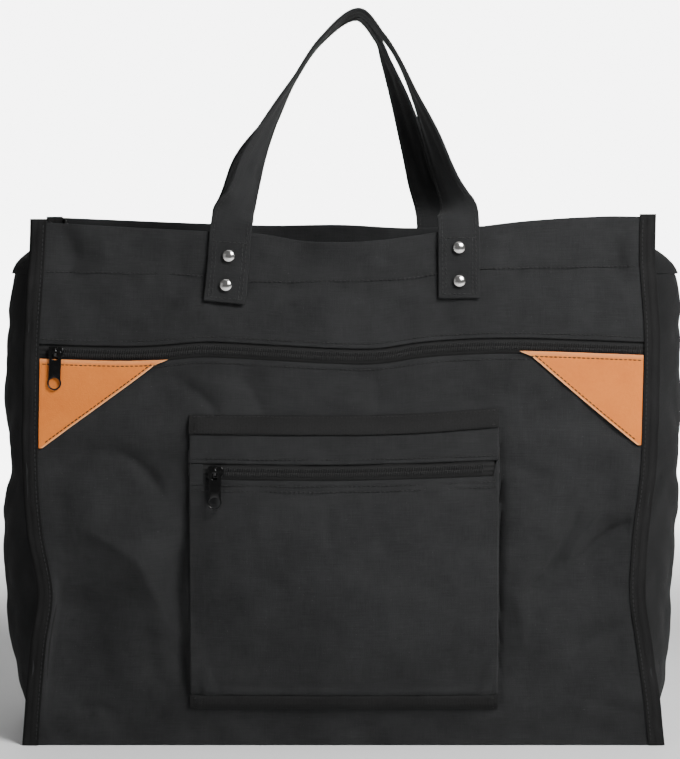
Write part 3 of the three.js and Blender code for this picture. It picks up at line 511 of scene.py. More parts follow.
class PocketForm:
    """The outer face of the patch pocket."""

    @staticmethod
    def stand(x: Array, z: Array) -> Array:
        """Returns how far the pocket stands off the wall."""
        across = np.clip((2 * x - POCKET.left - POCKET.right) / (POCKET.right - POCKET.left), -1, 1)
        top = BagForm.pocket_top(x)
        up = np.clip((2 * z - POCKET.bottom - top) / (top - POCKET.bottom), -1, 1)
        level = lerp(POCKET.edge, POCKET.side, 1 - up**8)
        belly = POCKET.belly * np.exp(-(((z - POCKET.belly_z) / POCKET.belly_reach) ** 2))
        return level + (POCKET.swell * (1 - up**2) + belly) * (1 - across**2)

    @staticmethod
    def closing(x: Array) -> Array:
        """Returns how far the slot's lower edge rises to meet its upper edge, at both ends of the zip."""
        inside = np.minimum(x - POCKET.slot_left, POCKET.slot_right - x)
        return (2 * S.slot - S.gap) * (1 - smooth(inside / POCKET.slot_ease))

    @classmethod
    def y(cls, x: Array, z: Array) -> Array:
        """Returns y of the pocket's face."""
        return FRONT.plain_y(x, z) - cls.stand(x, z)


class Wire:
    """One node output, so that shader maths reads as Python expressions."""

    def __init__(self, graph: "Graph", socket: bpy.types.NodeSocket) -> None:
        """Keeps the socket and the graph it is in."""
        self.graph, self.socket = graph, socket

    def __add__(self, other: "Wire | float") -> "Wire":
        """Returns the sum."""
        return self.graph.math("ADD", self, other)

    def __sub__(self, other: "Wire | float") -> "Wire":
        """Returns the difference."""
        return self.graph.math("SUBTRACT", self, other)

    def __rsub__(self, other: float) -> "Wire":
        """Returns the difference from a number."""
        return self.graph.math("SUBTRACT", other, self)

    def __mul__(self, other: "Wire | float") -> "Wire":
        """Returns the product."""
        return self.graph.math("MULTIPLY", self, other)

    def __truediv__(self, other: "Wire | float") -> "Wire":
        """Returns the quotient."""
        return self.graph.math("DIVIDE", self, other)

    __radd__ = __add__
    __rmul__ = __mul__

    def wave(self) -> "Wire":
        """Returns the sine of pi times the value, so that whole numbers are zeros."""
        return self.graph.math("SINE", self * math.pi)

    def size(self) -> "Wire":
        """Returns the value without its sign."""
        return self.graph.math("ABSOLUTE", self)

    def ribs(self, pitch: float) -> "Wire":
        """Returns rounded ribs from 0 to 1, one in each pitch of the value."""
        return (self / pitch).wave().size()

    def limited(self) -> "Wire":
        """Returns the value kept from 0 to 1."""
        return self.graph.math("MINIMUM", self.graph.math("MAXIMUM", self, 0.0), 1.0)


Value = Wire | float | Sequence[float]


class Graph:
    """The node graph of one material."""

    def __init__(self, name: str) -> None:
        """Starts a material that holds an output and one Principled shader."""
        self.material = bpy.data.materials.new(name)
        self.material.use_nodes = True
        self.tree = self.material.node_tree
        self.tree.nodes.clear()
        self.surface = self.node("ShaderNodeBsdfPrincipled")
        output = self.node("ShaderNodeOutputMaterial")
        self.tree.links.new(self.surface.outputs["BSDF"], output.inputs["Surface"])

    def node(self, kind: str, settings: dict | None = None, sockets: dict | None = None) -> bpy.types.Node:
        """Adds a node.

        Args:
            kind: The node's type.
            settings: Its own properties by name.
            sockets: Input values or wires, by socket name or number.

        Returns:
            The new node.
        """
        made = self.tree.nodes.new(kind)
        for name, value in (settings or {}).items():
            setattr(made, name, value)
        for name, value in (sockets or {}).items():
            self.feed(made.inputs[name], value)
        return made

    def feed(self, socket: bpy.types.NodeSocket, value: Value) -> None:
        """Links a wire to a socket, or sets a constant on it."""
        if isinstance(value, Wire):
            self.tree.links.new(value.socket, socket)
        else:
            socket.default_value = value

    def math(self, operation: str, *values: Wire | float) -> Wire:
        """Returns the result of a Math node."""
        made = self.node("ShaderNodeMath", {"operation": operation}, dict(enumerate(values)))
        return Wire(self, made.outputs[0])

    def mix(self, factor: Wire, a: Value, b: Value) -> Wire:
        """Returns a colour between a and b, by a factor that is kept from 0 to 1."""
        made = self.node("ShaderNodeMix", {"data_type": "RGBA"}, {0: factor, 6: a, 7: b})
        return Wire(self, made.outputs[2])

    def split(self, place: Wire) -> tuple[Wire, Wire]:
        """Returns a vector's x and y."""
        parts = self.node("ShaderNodeSeparateXYZ", sockets={0: place})
        return Wire(self, parts.outputs[0]), Wire(self, parts.outputs[1])

    def cut(self) -> tuple[Wire, Wire]:
        """Returns the place on the flat cut cloth, in metres across and along."""
        return self.split(Wire(self, self.node("ShaderNodeUVMap", {"uv_map": UV_NAME}).outputs[0]))

    def mark(self) -> Wire:
        """Returns the mark that a sheet carries at its cut edges, and the painted highlight along a folded
        edge, from 0 to 1.
        """
        return Wire(self, self.node("ShaderNodeAttribute", {"attribute_name": MARK_NAME}).outputs["Fac"])

    def space(self) -> Wire:
        """Returns the place in the object's own frame."""
        return Wire(self, self.node("ShaderNodeTexCoord").outputs["Object"])

    def noise(self, place: Wire, scale: float, detail: float = 2.0, roughness: float = 0.5) -> Wire:
        """Returns soft noise from 0 to 1."""
        sockets = {"Vector": place, "Scale": scale, "Detail": detail, "Roughness": roughness}
        return Wire(self, self.node("ShaderNodeTexNoise", sockets=sockets).outputs[0])

    def drawn(self, x: Wire, y: Wire, across: float, along: float, detail: float = 3.0) -> Wire:
        """Returns noise on the flat cloth, with its own scale each way."""
        place = self.node("ShaderNodeCombineXYZ", sockets={0: x * across, 1: y * along})
        return self.noise(Wire(self, place.outputs[0]), 1.0, detail)

    def cells(self, place: Wire, scale: float) -> Wire:
        """Returns the distance to the nearest of many scattered points."""
        made = self.node("ShaderNodeTexVoronoi", sockets={"Vector": place, "Scale": scale})
        return Wire(self, made.outputs["Distance"])

    def dress(self, colour: Wire, rough: Value, relief: tuple[Wire, float] | None, **more: Value) -> Material:
        """Feeds the shader and returns the material.

        Args:
            colour: The base colour.
            rough: The roughness.
            relief: A height and the distance in metres that it stands for, for a bump.
            more: Other inputs of the shader, named with underscores for spaces.

        Returns:
            The finished material.
        """
        if relief:
            sockets = {"Height": relief[0], "Distance": relief[1], "Strength": 1.0}
            more["Normal"] = Wire(self, self.node("ShaderNodeBump", sockets=sockets).outputs[0])
        for name, value in {"Base_Color": colour, "Roughness": rough, **more}.items():
            self.feed(self.surface.inputs[name.replace("_", " ")], value)
        return self.material


def grey(level: float, warm: float = 0.0) -> Colour:
    """Returns a nearly neutral colour, warmer above 0 and cooler below."""
    return (level * (1 + warm), level, level * (1 - warm), 1.0)


@dataclass(frozen=True)
class Finish:
    """A surface finish between two colours, made once and shared by the pieces that wear it."""

    name: str
    dark: float = 0.005
    light: float = 0.021
    warm: float = 0.0

    def fill(self, graph: Graph) -> Material:
        """Fills the graph and returns its material."""
        raise NotImplementedError

    def tint(self, graph: Graph, tone: Wire) -> Wire:
        """Returns the finish's colour for a tone, from its dark grey to its light one."""
        return graph.mix(tone, grey(self.dark, self.warm), grey(self.light, self.warm))

    def material(self) -> Material:
        """Returns the finish's material, making it the first time."""
        return bpy.data.materials.get(self.name) or self.fill(Graph(self.name))


@dataclass(frozen=True)
class WovenCloth(Finish):
    """Plain woven cloth with uneven threads, a little dust and a soft sheen."""

    light: float = 0.033
    warm: float = -0.02
    thread: float = 0.00062
    slub: Pair = (60.0, 1500.0)
    dust: float = 0.11
    sheen: float = 0.04

    def fill(self, graph: Graph) -> Material:
        """Fills the graph with a weave of warp and weft."""
        x, y = graph.cut()
        u, v = x / self.thread, y / self.thread
        over = (u.wave() * v.wave() * 1.6 + 0.5).limited()
        weave = u.wave().size() * over + v.wave().size() * (1 - over)
        weft = graph.drawn(x, y, *self.slub)
        warp = graph.drawn(x, y, *self.slub[::-1])
        cloudy = graph.noise(graph.space(), 22.0, 6.0, 0.72)
        lint = (graph.noise(graph.space(), 900.0, 1.0) - 0.74).limited() * 3.0
        tone = weave * 0.3 + weft * 0.42 + warp * 0.32 + (cloudy - 0.5) * 0.9
        return graph.dress(
            graph.mix(lint, self.tint(graph, tone), grey(self.dust)),
            0.74 + cloudy * 0.16,
            (weave + weft * 0.8 + warp * 0.6, 0.00016),
            Sheen_Weight=self.sheen,
            Sheen_Roughness=0.45,
            Specular_IOR_Level=0.07,
        )


@dataclass(frozen=True)
class RibbedTape(Finish):
    """Grosgrain tape: close ribs, with a grainy face."""

    light: float = 0.0215
    rib: float = 0.0011
    strand: float = 0.6

    def fill(self, graph: Graph) -> Material:
        """Fills the graph with ribs and the strands over them."""
        x, y = graph.cut()
        ribs, strands = x.ribs(self.rib), y.ribs(self.rib * self.strand)
        grain = graph.drawn(x, y, 700.0, 700.0)
        worn = graph.noise(graph.space(), 30.0, 3.0)
        tone = ribs * 0.25 + strands * 0.12 + (grain - 0.3) * 0.8 + (worn - 0.5) * 0.4 + 0.15
        height = ribs * 0.7 + strands * 0.4 + grain * 0.8
        return graph.dress(
            self.tint(graph, tone), 0.7 + grain * 0.2, (height, 0.00018), Specular_IOR_Level=0.08
        )


@dataclass(frozen=True)
class EdgeTape(Finish):
    """Soft binding tape: lines along its length, with a fuzzy face."""

    line: float = 0.0052

    def fill(self, graph: Graph) -> Material:
        """Fills the graph with long lines and fuzz."""
        x, y = graph.cut()
        lines = x.ribs(self.line)
        strands = graph.drawn(x, y, 1800.0, 90.0)
        fuzz = graph.drawn(x, y, 900.0, 900.0, 2.0)
        worn = graph.noise(graph.space(), 26.0, 3.0)
        tone = lines * 0.2 + strands * 0.6 + (fuzz - 0.5) * 0.5 + (worn - 0.5) * 0.6
        height = lines * 0.8 + strands * 0.5 + fuzz * 0.4
        return graph.dress(
            self.tint(graph, tone), 0.75 + fuzz * 0.2, (height, 0.0002), Specular_IOR_Level=0.06
        )


@dataclass(frozen=True)
class HerringboneTape(Finish):
    """Zip tape: fine threads that slant one way and then the other, with lines along its length."""

    thread: float = 0.0009
    band: float = 0.0034

    def fill(self, graph: Graph) -> Material:
        """Fills the graph with slanting threads."""
        x, y = graph.cut()
        threads = (x + graph.math("PINGPONG", y, self.band)).ribs(self.thread)
        lines = y.ribs(self.band)
        grain = graph.drawn(x, y, 900.0, 900.0, 2.0)
        tone = threads * 0.3 + lines * 0.5 + (grain - 0.3) * 0.4
        height = threads * 0.6 + lines + grain * 0.3
        return graph.dress(
            self.tint(graph, tone), 0.72 + grain * 0.18, (height, 0.00016), Specular_IOR_Level=0.08
        )


@dataclass(frozen=True)
class TanLeather(Finish):
    """Smooth tan leather with pores, fine grain, cloudy dye, paler cut edges and a painted highlight along
    its folded top.
    """

    deep: Colour = (0.47, 0.115, 0.018, 1.0)
    pale: Colour = (0.68, 0.2, 0.034, 1.0)
    raw: Colour = (0.8, 0.4, 0.18, 1.0)

    def fill(self, graph: Graph) -> Material:
        """Fills the graph with grain and dye."""
        place = graph.space()
        pebbles = graph.cells(place, 1150.0)
        pores = (graph.cells(place, 420.0) * 5.0).limited()
        dye = graph.noise(place, 38.0, 5.0, 0.62)
        fine = graph.noise(place, 520.0, 3.0)
        tone = (0.2 + dye * 0.75 + (fine - 0.5) * 0.35) * (0.82 + pores * 0.18)
        # The mark brings in the raw colour: real at the cut edges, a painted highlight along the folded top.
        return graph.dress(
            graph.mix(graph.mark(), graph.mix(tone, self.deep, self.pale), self.raw),
            0.46 + fine * 0.2 + (1 - pores) * 0.15,
            (pebbles * 0.8 + pores * 0.4 + fine * 0.5, 0.00012),
            Specular_IOR_Level=0.12,
        )


@dataclass(frozen=True)
class BlackEnamel(Finish):
    """Black enamelled metal, rubbed a little brighter in places."""

    dark: float = 0.002
    light: float = 0.009

    def fill(self, graph: Graph) -> Material:
        """Fills the graph with enamel, fine scratches and wear."""
        place = graph.space()
        rubbed = ((graph.noise(place, 260.0, 4.0, 0.65) - 0.58) * 4.0).limited()
        scratches = graph.noise(place, 2400.0)
        return graph.dress(
            self.tint(graph, rubbed),
            0.12 + scratches * 0.12 + rubbed * 0.12,
            (scratches, 0.00001),
            Coat_Weight=0.25 - rubbed * 0.2,
            Coat_Roughness=0.1,
            Specular_IOR_Level=0.3,
        )


@dataclass(frozen=True)
class PolishedNickel(Finish):
    """Polished nickel with fine scratches and a trace of tarnish."""

    bright: Colour = (0.72, 0.71, 0.69, 1.0)
    dull: Colour = (0.5, 0.48, 0.45, 1.0)

    def fill(self, graph: Graph) -> Material:
        """Fills the graph with bright metal."""
        place = graph.space()
        scratches = graph.noise(place, 3000.0)
        tarnish = ((graph.noise(place, 420.0, 3.0) - 0.55) * 3.0).limited()
        rough = 0.1 + scratches * 0.1 + tarnish * 0.12
        colour = graph.mix(tarnish, self.bright, self.dull)
        return graph.dress(colour, rough, (scratches, 0.000006), Metallic=1.0)


@dataclass(frozen=True)
class NylonCoil(Finish):
    """Satin black nylon of the zip coils."""

    dark: float = 0.011
    light: float = 0.027

    def fill(self, graph: Graph) -> Material:
        """Fills the graph with satin nylon."""
        grain = graph.noise(graph.space(), 1600.0)
        return graph.dress(
            self.tint(graph, grain), 0.46 + grain * 0.2, (grain, 0.00003), Specular_IOR_Level=0.16
        )


@dataclass(frozen=True)
class Thread(Finish):
    """Twisted sewing thread."""

    dark: float = 0.007
    light: float = 0.026

    def fill(self, graph: Graph) -> Material:
        """Fills the graph with twisted strands."""
        place = graph.space()
        strands, lengths = graph.noise(place, 2600.0), graph.noise(place, 120.0)
        tone = strands * 0.6 + lengths * 0.5
        return graph.dress(
            self.tint(graph, tone), 0.5 + strands * 0.25, (strands, 0.00006), Specular_IOR_Level=0.15
        )


@dataclass(frozen=True)
class PaleFloor(Finish):
    """Plain white studio paper, with a painted glow where it lies well back from the bag."""

    dark: float = 0.88
    light: float = 0.9
    near: float = 0.35
    far: float = 1.6
    half: float = 1.15
    spread: float = 0.16
    soft: float = 0.85
    glow: float = 6.0

    def fill(self, graph: Graph) -> Material:
        """Fills the graph with even paper and a painted glow in the distance."""
        place = graph.space()
        x, y = graph.split(place)
        back = ((y - self.near) / (self.far - self.near)).limited()
        beside = ((self.half + y * self.spread - x.size()) / self.soft).limited()
        painted_glow = back * back * beside * beside * (3 - 2 * beside)
        return graph.dress(
            self.tint(graph, graph.noise(place, 4.0)),
            0.8,
            None,
            Specular_IOR_Level=0.1,
            Emission_Color=graph.mix(painted_glow, grey(0.0), grey(1.0)),
            Emission_Strength=self.glow,
        )


CLOTH = WovenCloth("charcoal_cloth")
# The wall cloth painted darker for the side walls: painted shade.
GUSSET_CLOTH_PAINTED_SHADE = WovenCloth("gusset_side_cloth", dark=0.003, light=0.016)
# The wall cloth a little darker, as painted shade on the straps, with finer threads.
STRAP_CLOTH_PAINTED_SHADE = WovenCloth("folded_strap_cloth", light=0.0315, thread=0.00055)
TAPE = RibbedTape("ribbed_tape")
# Darker than the wall cloth: painted shade on the rolled seam bindings.
EDGE_TAPE_PAINTED_SHADE = EdgeTape("edge_tape")
ZIP_TAPE = HerringboneTape("herringbone_tape")
LEATHER = TanLeather("tan_leather")
ENAMEL = BlackEnamel("black_enamel")
NICKEL = PolishedNickel("polished_nickel")
COIL = NylonCoil("nylon_coil")
DARK_THREAD = Thread("dark_thread")
GREY_THREAD = Thread("grey_thread", dark=0.011, light=0.034)
BROWN_THREAD = Thread("brown_thread", dark=0.014, light=0.042, warm=0.6)
FLOOR = PaleFloor("studio_paper")


class Bench:
    """Blender operators as used by hand, on one object at a time."""

    @classmethod
    def pick(cls, obj: Thing) -> Thing:
        """Selects one object alone and makes it the active one."""
        bpy.ops.object.select_all(action="DESELECT")
        obj.select_set(True)
        bpy.context.view_layer.objects.active = obj
        return obj

    @classmethod
    def named(cls, name: str) -> Thing:
        """Returns the active object under its own name, alone selected."""
        obj = bpy.context.active_object
        obj.name = obj.data.name = name
        return cls.pick(obj)

    @classmethod
    def add(cls, primitive: Callable[..., set[str]], name: str, **settings: object) -> Thing:
        """Adds a primitive mesh under its own name."""
        bpy.ops.object.select_all(action="DESELECT")
        primitive(**settings)
        return cls.named(name)

    @classmethod
    def modify(cls, obj: Thing, kind: str, **settings: object) -> None:
        """Adds a modifier with the settings given and applies it."""
        cls.pick(obj)
        made = obj.modifiers.new(kind.lower(), kind)
        for name, value in settings.items():
            setattr(made, name, value)
        bpy.ops.object.modifier_apply(modifier=made.name)

    @classmethod
    def bevel(cls, obj: Thing, width: float, segments: int, angle: float = 50.0) -> None:
        """Rounds the edges that are sharper than the angle, by a width in millimetres."""
        cls.modify(
            obj, "BEVEL", width=width * MM, segments=segments, limit_method="ANGLE",
            angle_limit=math.radians(angle), use_clamp_overlap=True,
        )

    @classmethod
    def soften(cls, obj: Thing, angle: float) -> None:
        """Shades the surface smooth except over edges sharper than the angle."""
        cls.pick(obj)
        bpy.ops.object.shade_smooth_by_angle(angle=math.radians(angle))

    @classmethod
    def join(cls, parts: Sequence[Thing], name: str) -> Thing:
        """Joins objects into the first of them."""
        cls.pick(parts[0])
        for part in parts[1:]:
            part.select_set(True)
        bpy.ops.object.join()
        return cls.named(name)

    @staticmethod
    @contextmanager
    def editing() -> Iterator[None]:
        """Opens the active object's mesh for editing with all of it selected, and closes it again."""
        bpy.ops.object.mode_set(mode="EDIT")
        bpy.ops.mesh.select_all(action="SELECT")
        yield
        bpy.ops.object.mode_set(mode="OBJECT")

    @staticmethod
    def choose(obj: Thing, wanted: Callable[[bmesh.types.BMEdge], bool]) -> None:
        """Selects the edges that are wanted in the mesh being edited, and no others."""
        for edge in bmesh.from_edit_mesh(obj.data).edges:
            edge.select_set(wanted(edge))
        bmesh.update_edit_mesh(obj.data)

    @staticmethod
    def face_outwards() -> None:
        """Turns the faces of the closed mesh being edited outwards."""
        bpy.ops.mesh.select_all(action="SELECT")
        bpy.ops.mesh.normals_make_consistent(inside=False)


def run_lengths(points: Array, axis: int) -> Array:
    """Returns the mean distance from the grid's first line to each line along one axis."""
    return running(np.linalg.norm(np.diff(points, axis=axis), axis=-1).mean(axis=1 - axis))


def lay_sheet(name: str, points: Array, marks: Array | None = None) -> Thing:
    """Lays a grid of quads through points, with its cut size as the UV map.

    Args:
        name: The new object's name.
        points: Places in millimetres, by row and column.
        marks: How much of a cut edge and of a painted fold highlight shows at each point, if any.

    Returns:
        The new object, one layer thick.
    """
    rows, columns = points.shape[:2]
    size = {"x_subdivisions": columns - 1, "y_subdivisions": rows - 1, "size": 1.0}
    obj = Bench.add(bpy.ops.mesh.primitive_grid_add, name, **size)
    mesh = obj.data
    flat = np.empty(len(mesh.vertices) * 3)
    mesh.vertices.foreach_get("co", flat)
    flat = flat.reshape(-1, 3)
    column = np.rint((flat[:, 0] + 0.5) * (columns - 1)).astype(int)
    row = np.rint((flat[:, 1] + 0.5) * (rows - 1)).astype(int)
    mesh.vertices.foreach_set("co", (points[row, column] * MM).ravel())
    corner = np.empty(len(mesh.loops), int)
    mesh.loops.foreach_get("vertex_index", corner)
    across, along = run_lengths(points, 1) * MM, run_lengths(points, 0) * MM
    uv = np.stack([across[column[corner]], along[row[corner]]], -1)
    layer = mesh.uv_layers.active
    layer.name = UV_NAME
    layer.data.foreach_set("uv", uv.ravel())
    if marks is not None:
        mesh.attributes.new(MARK_NAME, "FLOAT", "POINT").data.foreach_set("value", marks[row, column])
    mesh.update()
    return obj


def hand_over(obj: Thing, finish: Finish, nodes: Sequence[str] = (), body: str = BODY) -> None:
    """Dresses a finished piece and gives it to the frame.

    Args:
        obj: The piece, in place.
        finish: Its surface finish.
        nodes: CAD nodes that it stands for.
        body: The CAD body that it moves with.
    """
    obj.data.materials.clear()
    obj.data.materials.append(finish.material())
    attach(obj, body)
    if nodes:
        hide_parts(*nodes)
    LOG.info("%s: %d faces, %s", obj.name, len(obj.data.polygons), finish.name)


@dataclass
class Sheet:
    """A piece of cloth, tape or leather, by how it is cut, held and dressed."""

    name: str
    node: str
    cut: Pair
    finish: Finish = CLOTH
    slot: Slot = Slot.CLOTH
    held: Held = Held.STRETCHED
    thick: float = S.cloth
    offset: float = -1.0
    edge: tuple[float, int] | None = None
    area: float | None = None
    soft: float = 60.0

    def build(self, points: Array, marks: Array | None = None) -> None:
        """Args:
            points: Its outer face, by row and column, or its middle where the offset is 0.
            marks: How much of a cut edge and of a painted fold highlight shows at each point, if any.
        """
        obj = lay_sheet(self.name, points, marks)
        Bench.modify(obj, "SOLIDIFY", thickness=self.thick * MM, offset=self.offset, use_even_offset=False)
        if self.edge:
            Bench.bevel(obj, *self.edge)
        Bench.soften(obj, self.soft)
        hand_over(obj, self.finish, [self.node])
        flat = (self.cut[0] * MM, self.cut[1] * MM)


def fold_steps(count: int = 5) -> list[Pair]:
    """Returns (inward, past the edge) round a folded edge, after the outer face and to the inner layer."""
    turns = [math.pi * i / count for i in range(1, count + 1)]
    return [(S.fold - S.fold * math.cos(a), S.fold * math.sin(a) - S.fold) for a in turns]


Row = tuple[float, float, float]


def turned_edge(turn: float, at: float, way: float) -> list[Row]:
    """Returns the rows round a turned edge: at share 0 or 1 of the height, and below or above it by way."""
    count = max(2, round(turn / S.turn_row)) if turn else 0
    fold = fold_steps() if turn else []
    rows = [(at, way * past, inward) for inward, past in fold]
    return rows + [(at, -way * lerp(S.fold, turn, (i + 1) / count), 2 * S.fold) for i in range(count)]


def panel_rows(rows: int, low_turn: float, high_turn: float) -> list[Row]:
    """Returns a panel's rows, turned edges too, as (share of the height, added height, distance inwards)."""
    start, end = S.fold if low_turn else 0.0, S.fold if high_turn else 0.0
    middle = [(t, lerp(start, -end, t), 0.0) for t in np.linspace(0, 1, rows + 1)]
    return turned_edge(low_turn, 0.0, -1)[::-1] + middle + turned_edge(high_turn, 1.0, 1)


@dataclass
class WallPanel:
    """A cloth panel of a long wall, from one height to another, with its edges turned in."""

    wall: Wall
    low: Curve
    high: Curve
    columns: int
    rows: int
    low_turn: float = 0.0
    high_turn: float = 0.0
    fade: float = 16.0
    edge_relief: float = 0.15

    def points(self) -> Array:
        """Returns the panel's outer face, by row and column."""
        share = np.linspace(0, 1, self.columns + 1)
        grid = []
        for t, more, inward in panel_rows(self.rows, self.low_turn, self.high_turn):
            level = lerp(self.low(0.0), self.high(0.0), t)
            ends = []
            for hand in Hand:
                edge = BagForm.edge(hand, level)
                ends.append(BagForm.edge(hand, lerp(self.low(edge), self.high(edge), t), S.fin_edge))
            x = lerp(*ends, share)
            z = lerp(self.low(x), self.high(x), t) + more
            grid.append(self.wall.at(x, z, self.relief(x, z) - inward))
        points = np.array(grid)
        return points if self.wall.side is Side.FRONT else points[:, ::-1]

    def relief(self, x: Array, z: Array) -> Array:
        """Returns the fine creases, fading towards seams, edges and the pocket."""
        edge = np.minimum(z - self.low(x), self.high(x) - z)
        fade = smooth(BagForm.from_seams(x, z) / self.fade) * smooth(edge / self.fade + self.edge_relief)
        if self.wall.side is Side.FRONT:
            fade = fade * smooth(BagForm.beside_pocket(x, z) / POCKET.fade)
        return self.wall.creases(x, z) * fade


@dataclass
class Gusset:
    """A cloth side wall that swells out between its two bound seams."""

    hand: Hand
    cut: Pair = (202.0, 420.0)
    across: int = 72
    up: int = 120
    hem_rows: int = 10
    sag: float = 6.0
    sag_power: float = 6.0
    swell_power: float = 1.4
    seam_fade: float = 22.0
    end_fade: float = 20.0
    creases: Creases = Creases(5, height=0.8)

    def flange(self, z: Array) -> Array:
        """Returns y of the seam allowance at a height."""
        return BagForm.depth(z) - (S.wall_cloth + S.gap + S.gusset_cloth / 2)

    def row(self, z: float, inward: float) -> Array:
        """Returns one row of points, from the front seam's allowance round to the rear one's."""
        t = np.linspace(0, 1, self.across + 1)
        swell = np.sin(math.pi * np.clip(t, 0, 1)) ** self.swell_power
        root = BagForm.edge(self.hand, z, S.fin + S.gap + S.seam_bend)
        flange = self.flange(z)
        depth = flange - S.seam_bend
        fin, seam = BagForm.edge(self.hand, z, S.fin_edge), BagForm.edge(self.hand, z, S.fin + S.gap)
        allowance = [fin, lerp(fin, seam, 0.5), seam]
        x = np.concatenate([allowance, lerp(root, BagForm.sides[self.hand](z), swell), allowance[::-1]])
        y = np.concatenate([[-flange] * 3, lerp(-depth, depth, t), [flange] * 3])
        share = np.clip((np.arange(len(x)) - 3) / self.across, 0, 1)
        drop = self.sag * (z / S.seam_top) ** self.sag_power * np.sin(math.pi * share)
        return np.stack([x - self.hand.value * inward, y, z - drop], -1)

    def points(self) -> Array:
        """Returns the gusset's outer face, by row and column from front to back."""
        edge = S.seam_top - S.fold
        rows = [(z, 0.0) for z in np.linspace(S.floor_gap, edge, self.up + 1)]
        rows += [(S.seam_top + past, inward) for inward, past in fold_steps()]
        rows += [(edge - d, 2 * S.fold) for d in np.linspace(0, S.hem, self.hem_rows)[1:]]
        points = np.array([self.row(z, inward) for z, inward in rows])
        outer = points[: self.up + 1]
        normal = unit(np.cross(np.gradient(outer, axis=1), np.gradient(outer, axis=0))) * self.hand.value
        y, z = outer[..., 1], outer[..., 2]
        fade = smooth((self.flange(z) - np.abs(y)) / self.seam_fade) * within(z, 0, S.seam_top, self.end_fade)
        outer += normal * (self.creases(y, z) * fade)[..., None]
        return points if self.hand is Hand.RIGHT else points[:, ::-1]

    def build(self) -> None:
        """Builds the gusset."""
        name = self.hand.name.lower()
        Sheet(f"gusset_cloth_{name}", f"gusset_{name}", self.cut, GUSSET_CLOTH_PAINTED_SHADE).build(self.points())


@dataclass
class BasePanel:
    """The flat cloth base between the walls."""

    thick: float = 1.6
    inset: float = 1.6
    cut: Pair = (450.0, 158.0)
    columns: int = 60
    rows: int = 24

    def build(self) -> None:
        """Builds the base."""
        depth = BagForm.depth(0.0) - S.wall_cloth - S.gap
        ends = [BagForm.edge(hand, 0.0, S.fin + self.inset) for hand in Hand]
        x, y = np.meshgrid(np.linspace(*ends, self.columns + 1), np.linspace(-depth, depth, self.rows + 1))
        sheet = Sheet("base_cloth", "base_panel", self.cut, held=Held.LAID, thick=self.thick)
        sheet.build(np.stack([x, y, np.full_like(x, self.thick)], -1))


@dataclass
class SeamBinding:
    """Tape folded over the raw edges of one upright seam."""

    wall: Wall
    hand: Hand
    tape: float = 0.8
    stand: float = 1.0
    waver: float = 0.5
    sway: float = 2.2
    sway_start: float = 25.0
    seed: int = 21
    above_front: float = 2.0
    above_back: float = 0.3
    closing: tuple[Pair, ...] = ((0.5, 0.8), (0.0, 0.25))
    closing_start: float = 1.2
    closing_middle: float = 1.2
    cut: Pair = (28.0, 382.0)
    up: int = 150

    def section(self) -> Array:
        """Returns the folded tape's outer line as (distance in from the edge, depth behind the wall)."""
        slot = S.wall_cloth + S.gusset_cloth + 3 * S.gap
        radius = slot / 2 + self.stand
        legs = np.linspace(S.fin, radius, 6)
        turns = np.linspace(-math.pi / 2, math.pi / 2, 11)[1:-1]
        bend = [(radius - radius * math.cos(a), slot / 2 + radius * math.sin(a)) for a in turns]
        front = [(d, -self.stand) for d in legs]
        rear = [(d, slot + self.stand) for d in legs[::-1]]
        return np.array(front + bend + rear)

    def points(self) -> Array:
        """Returns the tape's outer face, by row and column."""
        sign, hand = self.wall.side.value, self.hand.value
        rim = self.wall.rim(BagForm.edge(self.hand, self.wall.rim(0.0)))
        top = rim + (self.above_front if self.wall.side is Side.FRONT else self.above_back)
        rows = [(z, 1.0) for z in np.linspace(S.floor_gap, top - self.closing_start, self.up + 1)]
        rows += [(top - below, size) for below, size in self.closing]
        section = self.section()
        middle = section.mean(axis=0) * (self.closing_middle, 1.0)
        waves = Creases(self.seed + 2 * sign + hand, height=self.waver, short=18, long=60)
        grid = []
        for z, size in rows:
            shape = middle + (section - middle) * (1, size)
            sway = self.sway * waves(np.array(z), np.array(0.0)) * smooth(z / self.sway_start)
            reach = np.clip(1 - shape[:, 0] / S.fin, 0, 1) ** 2
            x = BagForm.edge(self.hand, z, shape[:, 0])
            y = sign * (BagForm.depth(z) + S.gap - shape[:, 1] + sway * reach)
            grid.append(np.stack([x, y, np.full(len(x), z)], -1))
        points = np.array(grid)
        return points if sign * hand < 0 else points[:, ::-1]

    def build(self) -> None:
        """Builds the binding."""
        name = f"{self.wall.side.name.lower()}_{self.hand.name.lower()}"
        sheet = Sheet(f"binding_tape_{name}", f"binding_{name}", self.cut, EDGE_TAPE_PAINTED_SHADE, Slot.TAPE, Held.FOLDED)
        sheet.thick = self.tape
        sheet.build(self.points())


